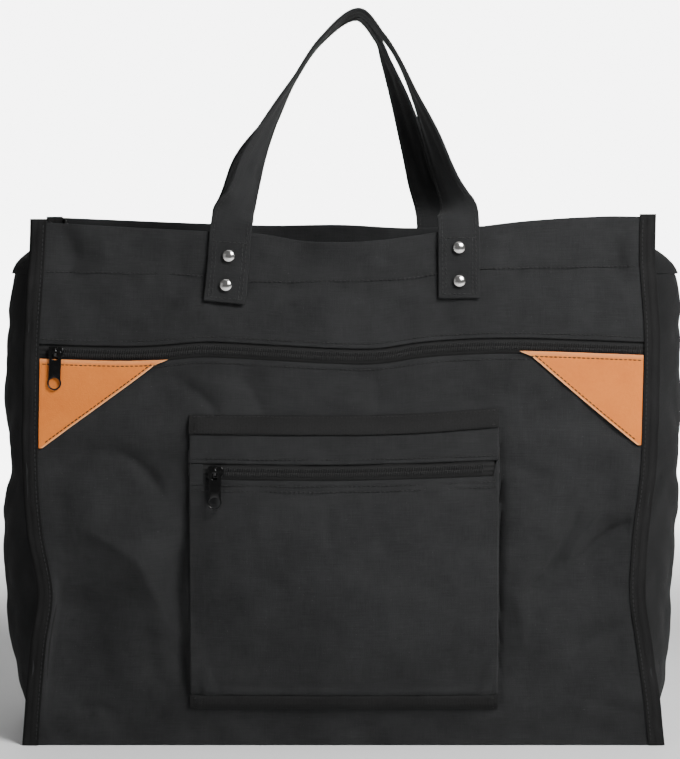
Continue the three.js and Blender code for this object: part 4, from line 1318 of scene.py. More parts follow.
class Repeat:
    """One small shape repeated along lines and kept as a single mesh."""

    def __init__(self, name: str, size: Sequence[float], **ball: object) -> None:
        """Models the shape, a ball drawn out to a size, keeps its mesh and takes the shape itself away."""
        shape = Bench.add(bpy.ops.mesh.primitive_uv_sphere_add, f"{name}_shape", radius=0.5, **ball)
        bpy.ops.object.transform_apply()
        bpy.ops.transform.resize(value=size)
        bpy.ops.object.transform_apply()
        self.name = name
        self.corners = np.array([v.co for v in shape.data.vertices])
        self.faces = [tuple(p.vertices) for p in shape.data.polygons]
        self.places: list[Array] = []
        bpy.data.objects.remove(shape)

    def place(self, at: Array, along: Array, up: Array) -> None:
        """Adds copies at points, with their x along one direction and their z up another."""
        along = unit(along)
        up = unit(up - along * np.sum(along * up, -1, keepdims=True))
        turn = np.stack([along, np.cross(up, along), up], -2)
        self.places.append(at[:, None, :] + self.corners[None] @ turn)

    def build(self) -> Thing:
        """Returns the copies as one object."""
        points = np.concatenate(self.places)
        count = len(self.corners)
        faces = [tuple(i + n * count for i in face) for n in range(len(points)) for face in self.faces]
        mesh = bpy.data.meshes.new(self.name)
        mesh.from_pydata((points.reshape(-1, 3) * MM).tolist(), [], faces)
        mesh.shade_smooth()
        obj = bpy.data.objects.new(self.name, mesh)
        bpy.context.scene.collection.objects.link(obj)
        return obj


def read_along(values: Array, far: Array, at: Array) -> Array:
    """Returns the vectors at places along a line, from those at known distances."""
    return np.stack([np.interp(at, far, values[:, i]) for i in range(3)], -1)


@dataclass
class Stitching:
    """Runs of sewn stitches that share one thread."""

    name: str
    finish: Finish
    slot: Slot
    pitch: float = 3.3
    length: float = 2.7
    width: float = 0.75
    height: float = 0.6
    sunk: float = 0.05

    def __post_init__(self) -> None:
        """Models one stitch."""
        size = (self.length, self.width, self.height)
        self.copies = Repeat(self.name, size, segments=6, ring_count=4, rotation=(0, math.pi / 2, 0))

    def run(self, points: Array, up: Array) -> None:
        """Sews along a line of points, with the surface's normal at each."""
        far = running(np.linalg.norm(np.diff(points, axis=0), axis=-1))
        count = max(2, int(far[-1] / self.pitch))
        s = (np.arange(count) + 0.5) * far[-1] / count
        normal = unit(read_along(up, far, s))
        along = read_along(points, far, s + 0.5) - read_along(points, far, s - 0.5)
        self.copies.place(read_along(points, far, s) + normal * self.sunk, along, normal)

    def on_wall(self, wall: Wall, x: Array, z: Array, out: float = 0.0) -> None:
        """Sews along a line on a wall, a distance outside its face."""
        self.run(wall.at(x, z, out), wall.outward(x, z))

    def facing(self, side: Side, x: Array, y: Array, z: Array) -> None:
        """Sews along a line on a surface that faces straight forwards or backwards."""
        self.run(np.stack([x, y, z], -1), np.tile([0.0, float(side.value), 0.0], (len(z), 1)))

    def build(self) -> None:
        """Builds the stitches as one piece."""
        hand_over(self.copies.build(), self.finish)


@dataclass
class CornerPatch:
    """A tan leather triangle under one end of the long zip, with its top edge folded over."""

    hand: Hand
    along: float
    lap: float
    down: float = 64.0
    tip: float = 2.5
    seam_gap: float = 0.9
    thick: float = 1.3
    roll: float = 0.5
    roll_height: float = 3.0
    roll_ease: float = 1.2
    raw: float = 1.2
    slant: float = 0.6
    # Share of the raw colour painted along the folded top edge as a highlight.
    fold_pale: float = 0.3
    tail: float = 4.5
    tail_start: Pair = (0.9, 0.94)
    top_stitch: float = 0.8
    top_run: Pair = (0.015, 0.965)
    slant_run: Pair = (0.05, 0.95)
    slant_stitch: Pair = (2.4, 0.6)
    cut: Pair = (94.0, 68.0)
    area: float = 0.0036
    columns: int = 44
    rows: int = 40

    def top(self, x: Array) -> Array:
        """Returns the height of the folded top edge."""
        return BagForm.main_zip(x) - S.slot + self.lap

    def place(self, t: Array, v: Array) -> tuple[Array, Array]:
        """Returns x and z a share t along from the seam and v up from the lower tip."""
        sign = self.hand.value
        bottom = self.top(BagForm.seam(self.hand, 0.0)) - self.down
        start = BagForm.seam(self.hand, bottom + self.down * v) - sign * self.seam_gap
        x = start - sign * lerp(self.tip, self.along, v) * t
        return x, lerp(bottom, self.top(x), v)

    def shape(self) -> tuple[Array, Array]:
        """Returns the leather's outer face by row and column, and how pale it is at its cut edges and in the
        painted highlight along its folded top.
        """
        t, v = np.meshgrid(np.linspace(0, 1, self.columns + 1), np.linspace(0, 1, self.rows + 1))
        x, z = self.place(t, v)
        inward = (1 - t) * lerp(self.tip, self.along, v) * self.slant
        # fold marks the folded top edge, which takes a painted highlight; the slanting cut edge is really
        # pale.
        fold = smooth(self.roll_height + 0.5 - (1 - v) * self.down)
        marks = np.maximum(np.clip(1 - inward / self.raw, 0, 1), self.fold_pale * fold)
        above = smooth((z - self.top(x) + self.roll_height) / self.roll_ease + 0.5)
        far, high = ((at - start) / (1 - start) for at, start in zip((t, v), self.tail_start))
        x = x - self.hand.value * self.tail * smooth(high) * smooth(far)
        points = FRONT.at(x, z, S.gap + self.thick + self.roll * above)
        return (points, marks) if self.hand is Hand.LEFT else (points[:, ::-1], marks[:, ::-1])

    def build(self, thread: Stitching) -> None:
        """Builds the patch and sews its top and slanting edges."""
        name = self.hand.name.lower()
        sheet = Sheet(f"leather_patch_{name}", f"corner_patch_{name}", self.cut, LEATHER, Slot.LEATHER)
        sheet.thick, sheet.edge, sheet.area = self.thick, (0.4, 3), self.area
        sheet.build(*self.shape())
        face = S.gap + self.thick
        t = np.linspace(*self.top_run, 60)
        x, _ = self.place(t, np.ones_like(t))
        thread.on_wall(FRONT, x, self.top(x) - self.roll_height - self.top_stitch, face)
        v = np.linspace(*self.slant_run, 60)
        x, z = self.place(np.ones_like(v), v)
        thread.on_wall(FRONT, x + self.hand.value * self.slant_stitch[0], z + self.slant_stitch[1], face)


@dataclass
class PatchPocket:
    """The zipped patch pocket: two cloth faces and the tape bands over its top and bottom edges."""

    columns: int = 110
    lower_rows: int = 90
    upper_rows: int = 20
    band_rows: int = 20
    tape: float = 0.9
    puff: float = 1.2
    roll: float = 1.7
    roll_width: float = 2.6
    roll_end: float = 3.0
    roll_fade: float = 8.0
    side_fade: float = 14.0
    edge_fade: float = 16.0
    edge_plain: float = 8.0
    crease_fade: float = 5.0
    closing_start: float = 0.84
    band_end: float = 1.5
    band_fade: float = 4.0
    band_climb: Pair = (0.02, 0.4)
    tape_climb: Pair = (0.3, 0.15)
    least_stand: float = 0.1
    stitch_end: float = 2.0
    above_zip: float = 3.4
    below_zip: Pair = (3.6, 7.6)
    band_stitch: Pair = (2.2, 1.8)
    band_sink: Pair = (0.6, 0.7)
    cut_width: float = 245.0
    lower_cut: float = 170.0
    upper_cut: float = 41.0
    band_cut: Pair = (225.0, 3.0)
    creases: Creases = Creases(12, height=0.5, short=20, long=90, count=24)

    def line(self) -> tuple[Array, Array]:
        """Returns x along the pocket from foot to foot, and how far each point is back from the face."""
        corner = POCKET.corner
        turns = np.linspace(math.pi / 2, 0, 5)
        inset, back = corner * (1 - np.sin(turns)), corner * (1 - np.cos(turns))
        ease = np.linspace(0, POCKET.slot_ease, 5)
        even = np.linspace(POCKET.left + corner, POCKET.right - corner, self.columns + 1)[1:-1]
        across = np.unique(np.concatenate([even, POCKET.slot_left + ease, POCKET.slot_right - ease]))
        left, right = POCKET.left + inset, (POCKET.right - inset)[::-1]
        x = np.concatenate([[POCKET.left], left, across, right, [POCKET.right]])
        return x, np.concatenate([[np.nan], back, 0 * across, back[::-1], [np.nan]])

    @staticmethod
    def inset(x: Array) -> Array:
        """Returns x kept off the pocket's round side corners."""
        return np.clip(x, POCKET.left + POCKET.corner, POCKET.right - POCKET.corner)

    def face(self, low: Curve, high: Curve, rows: int, low_turn: float, high_turn: float) -> Array:
        """Returns a face's outer side, by row and column, with its zip edge turned in."""
        x, back = self.line()
        grid = []
        for t, more, inward in panel_rows(rows, low_turn, high_turn):
            z = lerp(low(x), high(x), t) + more
            if high_turn:
                z = z + PocketForm.closing(x) * smooth((t - self.closing_start) / (1 - self.closing_start))
            foot = FRONT.y(x, z) - S.gap
            fade = within(x, POCKET.left, POCKET.right, self.side_fade)
            bottom, top = POCKET.bottom + self.edge_plain, BagForm.pocket_top(x) - self.edge_plain
            fade = fade * within(z, bottom, top, self.edge_fade)
            sharp = sum(crease(x, z) for crease in POCKET_CREASES)
            sharp = sharp * smooth((POCKET.right - x) / self.crease_fade)
            over = (z - POCKET.bottom - POCKET.band_bottom - self.roll_width) / self.roll_width
            ends = within(x, POCKET.left + self.roll_end, POCKET.right - self.roll_end, self.roll_fade)
            out = self.creases(x, z) * fade + sharp + self.roll * np.exp(-(over**2)) * ends
            y = PocketForm.y(self.inset(x), z) + np.nan_to_num(back) - out + inward * (fade > 0)
            y = np.where(np.isnan(back), foot, np.minimum(y, foot - self.least_stand))
            grid.append(np.stack([x, y, z], -1))
        return np.array(grid)

    def band(self, edge: Curve, way: float, height: float) -> Array:
        """Returns a band's outer side, from the wall over the pocket's edge onto its face, by way."""
        x = np.linspace(POCKET.left - POCKET.overhang, POCKET.right + POCKET.overhang, self.columns + 1)
        ends = within(x, POCKET.left + self.band_end, POCKET.right - self.band_end, self.band_fade)
        grid = []
        for t in np.linspace(0, 1, self.band_rows + 1):
            z = edge(x) + way * height * t
            climb = smooth((t - self.band_climb[0]) / self.band_climb[1])
            y = lerp(FRONT.y(x, z), PocketForm.y(self.inset(x), z), climb)
            puff = self.puff * (1 - (2 * t - 1) ** 4) * ends
            stand = self.tape * smooth(self.tape_climb[0] + t / self.tape_climb[1])
            grid.append(np.stack([x, y - S.gap - stand - puff, z], -1))
        points = np.array(grid)
        return points if way > 0 else points[::-1]

    def build(self, thread: Stitching) -> None:
        """Builds the faces and bands and sews their edges."""
        bottom, top, middle = Curve.level(POCKET.bottom), BagForm.pocket_top, BagForm.pocket_zip
        face_bottom, face_top = bottom.raised(POCKET.tuck), top.raised(-POCKET.tuck)
        lower = self.face(face_bottom, middle.raised(-S.slot), self.lower_rows, 0.0, S.zip_turn)
        upper = self.face(middle.raised(S.slot), face_top, self.upper_rows, S.zip_turn, 0.0)
        Sheet("pocket_lower_cloth", "pocket_lower_face", (self.cut_width, self.lower_cut)).build(lower)
        Sheet("pocket_upper_cloth", "pocket_upper_face", (self.cut_width, self.upper_cut)).build(upper)
        x = np.linspace(POCKET.left + self.stitch_end, POCKET.right - self.stitch_end, 90)
        for above in (S.slot + self.above_zip, *(-S.slot - below for below in self.below_zip)):
            z = middle(x) + above
            thread.facing(Side.FRONT, x, PocketForm.y(x, z), z)
        out = S.gap + self.tape
        for name, edge, way, height in (
            ("top", top, -1, POCKET.band_top),
            ("bottom", bottom, 1, POCKET.band_bottom),
        ):
            cut = (self.band_cut[0], height + self.band_cut[1])
            sheet = Sheet(f"pocket_{name}_tape", f"pocket_{name}_band", cut, TAPE, Slot.TAPE)
            sheet.thick, sheet.edge = self.tape, (0.25, 2)
            sheet.build(self.band(edge, way, height))
            z = edge(x) + way * (height - self.band_stitch[0])
            thread.facing(Side.FRONT, x, PocketForm.y(x, z) - out - self.band_sink[0], z)
            thread.on_wall(FRONT, x, edge(x) + way * self.band_stitch[1], out + self.band_sink[1])


@dataclass
class Zip:
    """A closed coil zip along a surface: its tape, its two rows of coil, its slider and its hanging pull."""

    name: str
    body: str
    surface: Callable[[Array, Array], Array]
    height: Curve
    left: float
    right: float
    coil_end: float
    slider_x: float
    slider_half: float = 5.5
    reach: float = 12.0
    depth: float = 2.4
    tape: float = 0.6
    coil_pitch: float = 1.25
    coil_half: float = 2.9
    coil_depth: float = 0.7
    coil_start: float = 4.0
    coil_stagger: float = 0.3
    coil_slant: float = 0.16
    loop: tuple[float, float, float] = (0.95, 1.7, 3.5)
    bulge: float = 1.0
    bulge_ease: float = 4.0
    columns: int = 140
    rows: int = 25

    def place(self, x: Array, above: Array | float, inward: Array | float) -> Array:
        """Returns points above the zip's middle and behind the cloth's face."""
        z = self.height(x) + above
        return np.stack([x + 0 * z, self.surface(x, z) + inward, z], -1)

    def frame(self) -> Matrix:
        """Returns the slider's frame: x along the zip, y inwards and z up, in metres."""
        steps = np.array([-self.slider_half, 0.0, self.slider_half])
        ends = self.place(self.slider_x + steps, 0.0, 0.0)
        column = self.place(np.full(3, self.slider_x), steps, 0.0)
        along = Vector(ends[2] - ends[0]).normalized()
        inward = Vector(column[2] - column[0]).cross(along).normalized()
        turn = Matrix((along, inward, along.cross(inward))).transposed().to_4x4()
        return Matrix.Translation(Vector(ends[1]) * MM) @ turn

    def build_tape(self) -> None:
        """Builds the woven tape behind the slot."""
        x = np.linspace(self.left, self.right, self.columns)
        rows = []
        for above in np.linspace(-self.reach, self.reach, self.rows):
            bulge = self.bulge * smooth((S.slot - abs(above)) / self.bulge_ease)
            rows.append(self.place(x, above, self.depth - self.tape - bulge))
        cut = (self.right - self.left, 2 * self.reach)
        sheet = Sheet(f"{self.name}_tape_cloth", f"{self.name}_tape", cut, ZIP_TAPE, Slot.ZIP_TAPE)
        sheet.thick = self.tape
        sheet.build(np.array(rows))

    def build_coil(self) -> None:
        """Builds the two interlocking rows of coil."""
        teeth = Repeat(f"{self.name}_teeth", self.loop, segments=8, ring_count=6)
        for hand in (-1, 1):
            start = self.slider_x + self.coil_start + self.coil_stagger * hand * self.coil_pitch
            x = np.arange(start, self.coil_end, self.coil_pitch)
            at = self.place(x, hand * self.coil_half / 2, self.coil_depth)
            along = self.place(x + 1, 0.0, 0.0) - self.place(x - 1, 0.0, 0.0)
            teeth.place(at, along, np.tile([0.0, -self.coil_slant * hand, 1.0], (len(x), 1)))
        hand_over(teeth.build(), COIL, [f"{self.name}_coil"])

    def build(self) -> None:
        """Builds the zip's pieces."""
        self.build_tape()
        self.build_coil()
        SliderAndPull(self.name, self.body, self.frame()).build()


@dataclass
class SliderAndPull:
    """A black slider with an arched bail, and the pull that hangs from it."""

    zip_name: str
    body: str
    frame: Matrix
    length: float = 11.0
    height: float = 9.2
    corner: float = 2.4
    waist: float = 0.86
    plate: float = 1.5
    plate_front: float = -2.75
    back_plate: float = 3.25
    back: float = 1.1
    neck: tuple[float, float, float] = (-4.9, -2.3, 1.2)
    flange: tuple[float, float, float] = (-3.1, 2.6, 0.6)
    flange_edges: Pair = (1.4, 0.5)
    lap: float = 0.3
    bail_half: float = 3.4
    bail_reach: float = 3.1
    bail_bar: float = 1.2
    bail_width: float = 2.2
    bail_sunk: float = 0.4
    pivot: float = -4.0
    tilt: float = 2.0
    pull_half: float = 4.4
    pull_end: float = 5.1
    pull_hole: float = 3.9
    pull_drop: float = 22.2
    pull_thick: float = 1.5
    window: float = 2.0
    window_drop: float = 5.6
    window_power: float = 5.0
    soft: float = 40.0

    @staticmethod
    def block(low: Sequence[float], high: Sequence[float]) -> Thing:
        """Adds a box between two corners."""
        size = [(b - a) * MM for a, b in zip(low, high)]
        middle = [(a + b) / 2 * MM for a, b in zip(low, high)]
        obj = Bench.add(bpy.ops.mesh.primitive_cube_add, "block", size=1.0, location=middle, scale=size)
        bpy.ops.object.transform_apply()
        return obj

    def rounded(self, front: float, thick: float) -> Thing:
        """Adds a plate with round corners and a narrower tail."""
        half = self.height / 2
        obj = self.block((-self.length / 2, front, -half), (self.length / 2, front + thick, half))
        with Bench.editing():
            for vertex in bmesh.from_edit_mesh(obj.data).verts:
                if vertex.co.x > 0:
                    vertex.co.z *= self.waist
            Bench.choose(obj, lambda edge: abs(edge.verts[0].co.y - edge.verts[1].co.y) > thick * MM / 2)
            bpy.ops.mesh.bevel(offset=self.corner * MM, segments=6, affect="EDGES")
        Bench.bevel(obj, 0.4, 3)
        return obj

    def bail(self) -> Thing:
        """Adds the arch that the pull hangs from: half a ring, flattened."""
        ring = {"major_radius": self.bail_half * MM, "minor_radius": self.bail_bar / 2 * MM}
        obj = Bench.add(
            bpy.ops.mesh.primitive_torus_add, "bail", major_segments=36, minor_segments=12,
            rotation=(0, math.pi / 2, 0), **ring,
        )
        bpy.ops.object.transform_apply()
        widen = self.bail_width / self.bail_bar
        bpy.ops.transform.resize(value=(widen, self.bail_reach / self.bail_half, 1.0))
        bpy.ops.transform.translate(value=(0, self.plate_front * MM, 0))
        bpy.ops.object.transform_apply()
        cut = (0.0, (self.plate_front + self.bail_sunk) * MM, 0.0)
        with Bench.editing():
            bpy.ops.mesh.bisect(plane_co=cut, plane_no=(0, 1, 0), clear_outer=True, use_fill=True)
        return obj

    def build_slider(self) -> None:
        """Builds the slider from its plates, flanges, neck and bail."""
        front, half = self.plate_front + self.plate - self.lap, self.height / 2
        left, right, back = self.flange
        inner, outer = half - self.flange_edges[0] - self.lap, half - self.flange_edges[1]
        start, end, neck = self.neck
        parts = [
            self.rounded(self.plate_front, self.plate),
            self.rounded(self.back_plate, self.back),
            self.block((left, front, inner), (right, back, outer)),
            self.block((left, front, -outer), (right, back, -inner)),
            self.block((start, front, -neck), (end, self.back_plate + self.lap, neck)),
            self.bail(),
        ]
        obj = Bench.join(parts, f"{self.zip_name}_slider_body")
        obj.data.transform(self.frame)
        Bench.soften(obj, self.soft)
        hand_over(obj, ENAMEL, [f"{self.zip_name}_slider"])

    def ring(self, obj: Thing, count: int, place: Callable[[float], Pair]) -> None:
        """Adds a closed line of points to the mesh being edited, from a rule for its x and z by angle."""
        bpy.ops.mesh.select_all(action="DESELECT")
        bpy.ops.mesh.primitive_circle_add(vertices=count, radius=1.0, rotation=(math.pi / 2, 0, 0))
        for vertex in bmesh.from_edit_mesh(obj.data).verts:
            if vertex.select:
                x, z = place(math.atan2(vertex.co.z, vertex.co.x))
                vertex.co = (x * MM, -self.pull_thick / 2 * MM, z * MM)
        bmesh.update_edit_mesh(obj.data)

    def tag_edge(self, angle: float) -> Pair:
        """Returns the pull's outline by angle: a round end, or the square top for angles that point up."""
        meet = math.acos(self.pull_half / self.pull_end)
        if not meet < angle < math.pi - meet:
            return self.pull_end * math.cos(angle), self.pull_end * math.sin(angle) - self.pull_drop
        share = (angle - meet) / (math.pi - 2 * meet)
        half, top = self.pull_half, self.pull_thick / 2
        shoulder = self.pull_end * math.sin(meet) - self.pull_drop
        corners = (0.0, 0.4, 0.6, 1.0)
        x = np.interp(share, corners, (half, half, -half, -half))
        return float(x), float(np.interp(share, corners, (shoulder, top, top, shoulder)))

    def window_edge(self, angle: float) -> Pair:
        """Returns the outline of the window for the bail, with round corners, by angle."""
        top = self.pull_thick / 2
        middle, tall = (-top - self.window_drop) / 2, (self.window_drop - top) / 2
        c, s = math.cos(angle), math.sin(angle)
        size = (abs(c) ** self.window_power + abs(s) ** self.window_power) ** (-1 / self.window_power)
        return self.window * c * size, middle + tall * s * size

    def eye_edge(self, angle: float) -> Pair:
        """Returns the outline of the round eye by angle."""
        return self.pull_hole * math.cos(angle), self.pull_hole * math.sin(angle) - self.pull_drop

    def build_pull(self) -> None:
        """Builds the pull: a flat tag with a window for the bail and a round eye."""
        name = f"{self.zip_name}_pull_tag"
        obj = Bench.add(bpy.ops.mesh.primitive_circle_add, name, vertices=3, radius=MM)
        with Bench.editing():
            bpy.ops.mesh.delete(type="VERT")
            for count, place in ((64, self.tag_edge), (32, self.window_edge), (48, self.eye_edge)):
                self.ring(obj, count, place)
            bpy.ops.mesh.select_all(action="SELECT")
            bpy.ops.mesh.fill(use_beauty=True)
            bpy.ops.mesh.select_all(action="SELECT")
            bpy.ops.mesh.extrude_region_move(TRANSFORM_OT_translate={"value": (0, self.pull_thick * MM, 0)})
            Bench.face_outwards()
        Bench.bevel(obj, 0.5, 3)
        hang = Matrix.Translation((0, self.pivot * MM, 0)) @ Matrix.Rotation(math.radians(self.tilt), 4, "X")
        obj.data.transform(self.frame @ hang)
        Bench.soften(obj, self.soft)
        hand_over(obj, ENAMEL, [f"{self.zip_name}_pull"], self.body)

    def build(self) -> None:
        """Builds the slider and its pull."""
        self.build_slider()
        self.build_pull()


@dataclass
class Handle:
    """A flat strap of folded cloth, sewn and riveted to one wall at both ends."""

    wall: Wall
    width: float = 30.0
    thick: float = 2.3
    off_wall: float = 1.25
    apex_y: float = 17.0
    free_lean: float = 0.1
    crown_lean: float = 0.3
    step: float = 2.5
    columns: int = 16
    crown: float = 0.5
    ridge: float = 0.45
    ridge_wave: Pair = (2.2, 0.6)
    cut_length: float = 530.0
    edge_stitch: float = 3.0
    end_stitch: float = 2.5
    box: Pair = (3.0, 43.0)
    box_inset: float = 2.4
    stitch_stand: float = 0.1

    def __post_init__(self) -> None:
        """Measures the strap's stations along its length."""
        table = self.wall.strap
        x, z = table.column("x"), table.column("z")
        s = running(np.hypot(np.diff(x), np.diff(z)))
        self.length = float(s[-1])
        self.x, self.z, self.turn, self.lean = (Curve(s, table.column(name)) for name in table.names)

    def centre(self, s: Array) -> Array:
        """Returns points along the strap's middle."""
        sign = self.wall.side.value
        x, z = self.x(s), self.z(s)
        on_wall = self.wall.y(x, np.minimum(z, self.wall.rim(x))) + sign * (S.gap + self.off_wall)
        y = lerp(on_wall, sign * self.apex_y, np.clip(self.lean(s), 0, 1))
        return np.stack([x, y, z], -1)

    def axes(self, s: Array) -> tuple[Array, Array, Array]:
        """Returns the middle line, the width direction and the outward normal along the strap."""
        sign = self.wall.side.value
        at = self.centre(s)
        ahead = self.centre(np.minimum(s + 1, self.length))
        tangent = unit(ahead - self.centre(np.maximum(s - 1, 0)))
        free = smooth(self.lean(s) / self.free_lean)[:, None]
        rim = np.minimum(at[:, 2], self.wall.rim(at[:, 0]))
        away = lerp(self.wall.outward(at[:, 0], rim), np.array([0.0, sign, 0.0]), free)
        face = unit(away - tangent * np.sum(away * tangent, -1, keepdims=True))
        inside = np.cross(tangent, face) * -sign
        turn = -sign * np.radians(np.maximum(self.turn(s), 0))[:, None]
        width = np.cos(turn) * inside - np.sin(turn) * face
        return at, width, np.cos(turn) * face + np.sin(turn) * inside

    def points(self) -> Array:
        """Returns the strap's middle surface, by row along it and column across it."""
        s = np.linspace(0, self.length, int(self.length / self.step) + 1)
        at, width, normal = self.axes(s)
        across = np.linspace(-1, 1, self.columns + 1)
        waves, phase = self.ridge_wave
        lift = self.crown * (1 - across**2) - self.crown / 2
        lift = (lift + self.ridge * np.sin(waves * math.pi * across + phase))[None]
        lift = lift * smooth(self.lean(s) / self.crown_lean)[:, None]
        points = at[:, None] + width[:, None] * (across * self.width / 2)[None, :, None]
        points = points + normal[:, None] * lift[..., None]
        return points if self.wall.side is Side.BACK else points[:, ::-1]

    def sew(self, thread: Stitching) -> None:
        """Sews the strap's edges and the boxes that hold its ends."""
        half, out = self.width / 2 - self.edge_stitch, self.thick / 2
        at, width, normal = self.axes(np.linspace(self.end_stitch, self.length - self.end_stitch, 400))
        for hand in (-1, 1):
            for face in (-1, 1):
                up = normal * face
                thread.run(at + width * hand * half + up * (out + self.stitch_stand), up)
        low, high = self.box
        for ends in ((low, high), (self.length - high, self.length - low)):
            at, width, normal = self.axes(np.linspace(*ends, 40))
            for hand in (-1, 1):
                thread.run(at + width * hand * (half - self.box_inset) + normal * out, normal)
            across = np.linspace(-half, half, 12)[:, None]
            for end in (0, -1):
                line = at[end] + width[end] * across + normal[end] * out
                thread.run(line, np.tile(normal[end], (len(line), 1)))

    def build(self, thread: Stitching) -> None:
        """Builds the strap and its stitches."""
        name, cut = self.wall.side.name.lower(), (self.width, self.cut_length)
        sheet = Sheet(f"strap_{name}", f"handle_{name}", cut, STRAP_CLOTH_PAINTED_SHADE, Slot.STRAP, Held.HUNG)
        sheet.thick, sheet.offset, sheet.edge = self.thick, 0.0, (0.7, 3)
        sheet.build(self.points())
        self.sew(thread)


@dataclass
class Rivet:
    """A domed rivet through a strap end and its wall."""

    wall: Wall
    place: str
    cap: float = 4.6
    dome: float = 2.6
    brim: float = 0.5
    seat: float = 2.85
    back_cap: float = 4.2
    back_dome: float = 1.6
    inside: float = 2.6
    post: float = 1.5
    soft: float = 40.0

    def cap_mesh(self, radius: float, dome: float, name: str) -> Thing:
        """Adds a dome on a low rim, standing on z = 0: the upper half of a ball, flattened."""
        ball = {"segments": 32, "ring_count": 16, "radius": radius * MM}
        obj = Bench.add(bpy.ops.mesh.primitive_uv_sphere_add, name, **ball)
        with Bench.editing():
            bpy.ops.mesh.bisect(plane_co=(0, 0, 0), plane_no=(0, 0, 1), clear_inner=True)
            bpy.ops.mesh.select_all(action="SELECT")
            bpy.ops.transform.resize(value=(1, 1, (dome - self.brim) / radius))
            bpy.ops.transform.translate(value=(0, 0, self.brim * MM))
            bpy.ops.mesh.select_all(action="DESELECT")
            Bench.choose(obj, lambda edge: edge.is_boundary)
            bpy.ops.mesh.extrude_region_move(TRANSFORM_OT_translate={"value": (0, 0, -self.brim * MM)})
            bpy.ops.mesh.fill()
            Bench.face_outwards()
        Bench.bevel(obj, 0.2, 2)
        return obj

    def build(self) -> None:
        """Builds the caps on both sides and the post between them."""
        name = f"{self.wall.side.name.lower()}_{self.place}"
        front = self.cap_mesh(self.cap, self.dome, "cap")
        front.data.transform(Matrix.Translation((0, 0, self.seat * MM)))
        rear = self.cap_mesh(self.back_cap, self.back_dome, "rear_cap")
        rear.data.transform(Matrix.Translation((0, 0, -self.inside * MM)) @ Matrix.Rotation(math.pi, 4, "X"))
        reach, middle = self.seat + self.inside, (self.seat - self.inside) / 2
        post = Bench.add(
            bpy.ops.mesh.primitive_cylinder_add, "post", vertices=16, radius=self.post * MM, depth=reach * MM,
            location=(0, 0, middle * MM),
        )
        bpy.ops.object.transform_apply()
        obj = Bench.join([front, rear, post], f"dome_rivet_{name}")
        hand, z = RIVETS[self.place]
        x = self.wall.strap_x(hand, z)
        turn = Vector((0, 0, 1)).rotation_difference(Vector(self.wall.outward(x, z)))
        at = Matrix.Translation(Vector(self.wall.at(x, z)) * MM)
        obj.data.transform(at @ turn.to_matrix().to_4x4())
        Bench.soften(obj, self.soft)
        hand_over(obj, NICKEL, [f"rivet_{name}"])


@dataclass
class BagBody:
    """The cloth walls, gussets, base and bindings, with their sewing."""

    lower_cut: Pair = (450.0, 294.0)
    upper_cut: Pair = (452.0, 134.0)
    back_cut: Pair = (452.0, 416.0)
    zip_level: float = 280.0
    rim_level: float = 370.0
    above_zip: float = 3.4
    below_zip: float = 3.6
    seam_stitch: float = 1.5
    fin_stitch: float = 2.0
    fin_ends: Pair = (4.0, 2.0)
    fin_stand: float = 1.0

    def build(self, thread: Stitching) -> None:
        """Builds the body's sheets and sews their edges."""
        floor = Curve.level(S.floor_gap)
        zip_low, zip_high = BagForm.main_zip.raised(-S.slot), BagForm.main_zip.raised(S.slot)
        turn = S.zip_turn
        for name, cut, panel in (
            ("front_lower", self.lower_cut, WallPanel(FRONT, floor, zip_low, 236, 146, 0.0, turn)),
            ("front_upper", self.upper_cut, WallPanel(FRONT, zip_high, FRONT.rim, 210, 44, turn, S.hem)),
            ("back", self.back_cut, WallPanel(BACK, floor, BACK.rim, 120, 110, 0.0, S.hem)),
        ):
            Sheet(f"{name}_cloth", f"{name}_panel", cut).build(panel.points())
        for hand in Hand:
            Gusset(hand).build()
            for wall in WALLS:
                SeamBinding(wall, hand).build()
        BasePanel().build()
        ends = [BagForm.edge(hand, self.zip_level, S.fin + self.seam_stitch) for hand in Hand]
        x = np.linspace(*ends, 220)
        thread.on_wall(FRONT, x, zip_high(x) + self.above_zip)
        thread.on_wall(FRONT, x, zip_low(x) - self.below_zip)
        for wall in WALLS:
            thread.on_wall(wall, x, wall.hem(x))
            for hand in Hand:
                self.sew_binding(thread, wall, hand)

    def sew_binding(self, thread: Stitching, wall: Wall, hand: Hand) -> None:
        """Sews one binding near its inner edge."""
        foot, below_rim = self.fin_ends
        z = np.linspace(foot, wall.rim(BagForm.edge(hand, self.rim_level)) - below_rim, 150)
        y = wall.side.value * (BagForm.depth(z) + S.gap + self.fin_stand)
        thread.facing(wall.side, BagForm.edge(hand, z, S.fin - self.fin_stitch), y, z)


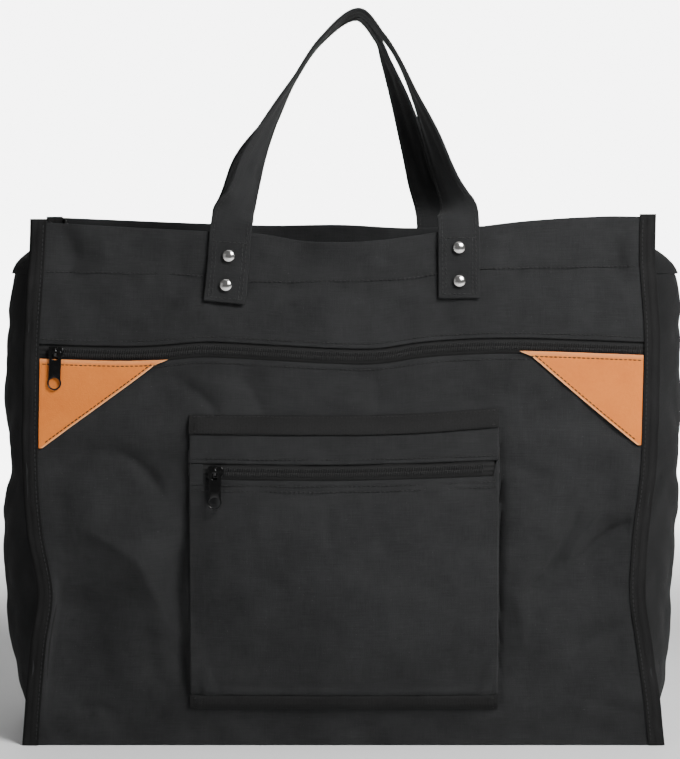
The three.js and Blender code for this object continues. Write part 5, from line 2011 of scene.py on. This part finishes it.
@dataclass
class Studio:
    """A white paper sweep, soft lights and a camera at the photograph's angle."""

    distance: float = 2.0
    aim: tuple[float, float, float] = (0.0, -0.085, 0.267)
    elevation: float = 4.5
    lens: float = 132.3
    sensor: float = 36.0
    light_aim: tuple[float, float, float] = (0.0, 0.0, 0.22)
    world: float = 0.15
    paper_width: float = 16.0
    paper_ends: Pair = (-6.0, 7.0)
    paper_bend: float = 0.72
    paper_rise: float = 3.5

    @staticmethod
    def aimed(name: str, data: bpy.types.ID, at: Vector, aim: Vector) -> Thing:
        """Adds a light or a camera at a place, turned towards another."""
        obj = bpy.data.objects.new(name, data)
        obj.location = at
        obj.rotation_euler = (aim - at).to_track_quat("-Z", "Y").to_euler()
        bpy.context.scene.collection.objects.link(obj)
        return obj

    def light(self, name: str, at: Sequence[float], size: float, power: float) -> None:
        """Adds a square soft light aimed at the bag."""
        data = bpy.data.lights.new(name, "AREA")
        data.energy, data.size = power, size
        self.aimed(name, data, Vector(at), Vector(self.light_aim))

    def sweep(self) -> None:
        """Adds the paper floor, curving up far behind the bag."""
        grid = {"x_subdivisions": 2, "y_subdivisions": 60, "size": 1.0}
        obj = Bench.add(bpy.ops.mesh.primitive_grid_add, "paper_sweep", **grid)
        for vertex in obj.data.vertices:
            t = vertex.co.y + 0.5
            rise = self.paper_rise * max(0.0, (t - self.paper_bend) / (1 - self.paper_bend)) ** 2
            vertex.co = (vertex.co.x * self.paper_width, lerp(*self.paper_ends, t), rise)
        Bench.soften(obj, 50)
        obj.data.materials.append(FLOOR.material())

    def build(self) -> None:
        """Builds the stage, the lights and the camera."""
        self.sweep()
        world = bpy.data.worlds.new("studio")
        world.use_nodes = True
        sky = world.node_tree.nodes["Background"].inputs
        sky["Color"].default_value = grey(1.0)
        sky["Strength"].default_value = self.world
        bpy.context.scene.world = world
        self.light("key", (0.62, -1.0, 1.1), 0.6, 35.0)
        self.light("fill", (-1.8, -1.3, 0.6), 1.4, 1.6)
        self.light("top", (0.1, -0.1, 2.2), 1.6, 5.0)
        data = bpy.data.cameras.new("camera")
        data.lens, data.sensor_width = self.lens, self.sensor
        rise, aim = math.radians(self.elevation), Vector(self.aim)
        at = aim + Vector((0, -math.cos(rise), math.sin(rise))) * self.distance
        bpy.context.scene.camera = self.aimed("camera", data, at, aim)


def main() -> None:
    """Builds the bag piece by piece, then the studio."""
    logging.basicConfig(level=logging.INFO, format="%(message)s")
    body_thread = Stitching("stitches_body", DARK_THREAD, Slot.CLOTH)
    pocket_thread = Stitching("stitches_pocket", DARK_THREAD, Slot.CLOTH)
    patch_thread = Stitching("stitches_patches", BROWN_THREAD, Slot.LEATHER, length=3.0, width=0.95)
    strap_thread = Stitching("stitches_straps", GREY_THREAD, Slot.STRAP)
    BagBody().build(body_thread)
    CornerPatch(Hand.LEFT, along=87.6, lap=1.0).build(patch_thread)
    CornerPatch(Hand.RIGHT, along=84.8, lap=2.2).build(patch_thread)
    PatchPocket().build(pocket_thread)
    left, right = (BagForm.seam(hand, MAIN_ZIP_LEVEL) for hand in Hand)
    Zip(
        "main_zip", "main_pull", FRONT.y, BagForm.main_zip, left=left - 6, right=right + 6,
        coil_end=right - 3, slider_x=-204.0,
    ).build()
    left, right = POCKET.left + 3, POCKET.right - 3
    Zip(
        "pocket_zip", "pocket_pull", PocketForm.y, BagForm.pocket_zip, left=left, right=right,
        coil_end=right - 8, slider_x=-88.5,
    ).build()
    for wall in WALLS:
        Handle(wall).build(strap_thread)
        for place in RIVETS:
            Rivet(wall, place).build()
    for thread in (body_thread, pocket_thread, patch_thread, strap_thread):
        thread.build()
    Studio().build()


if __name__ == "__main__":
    main()
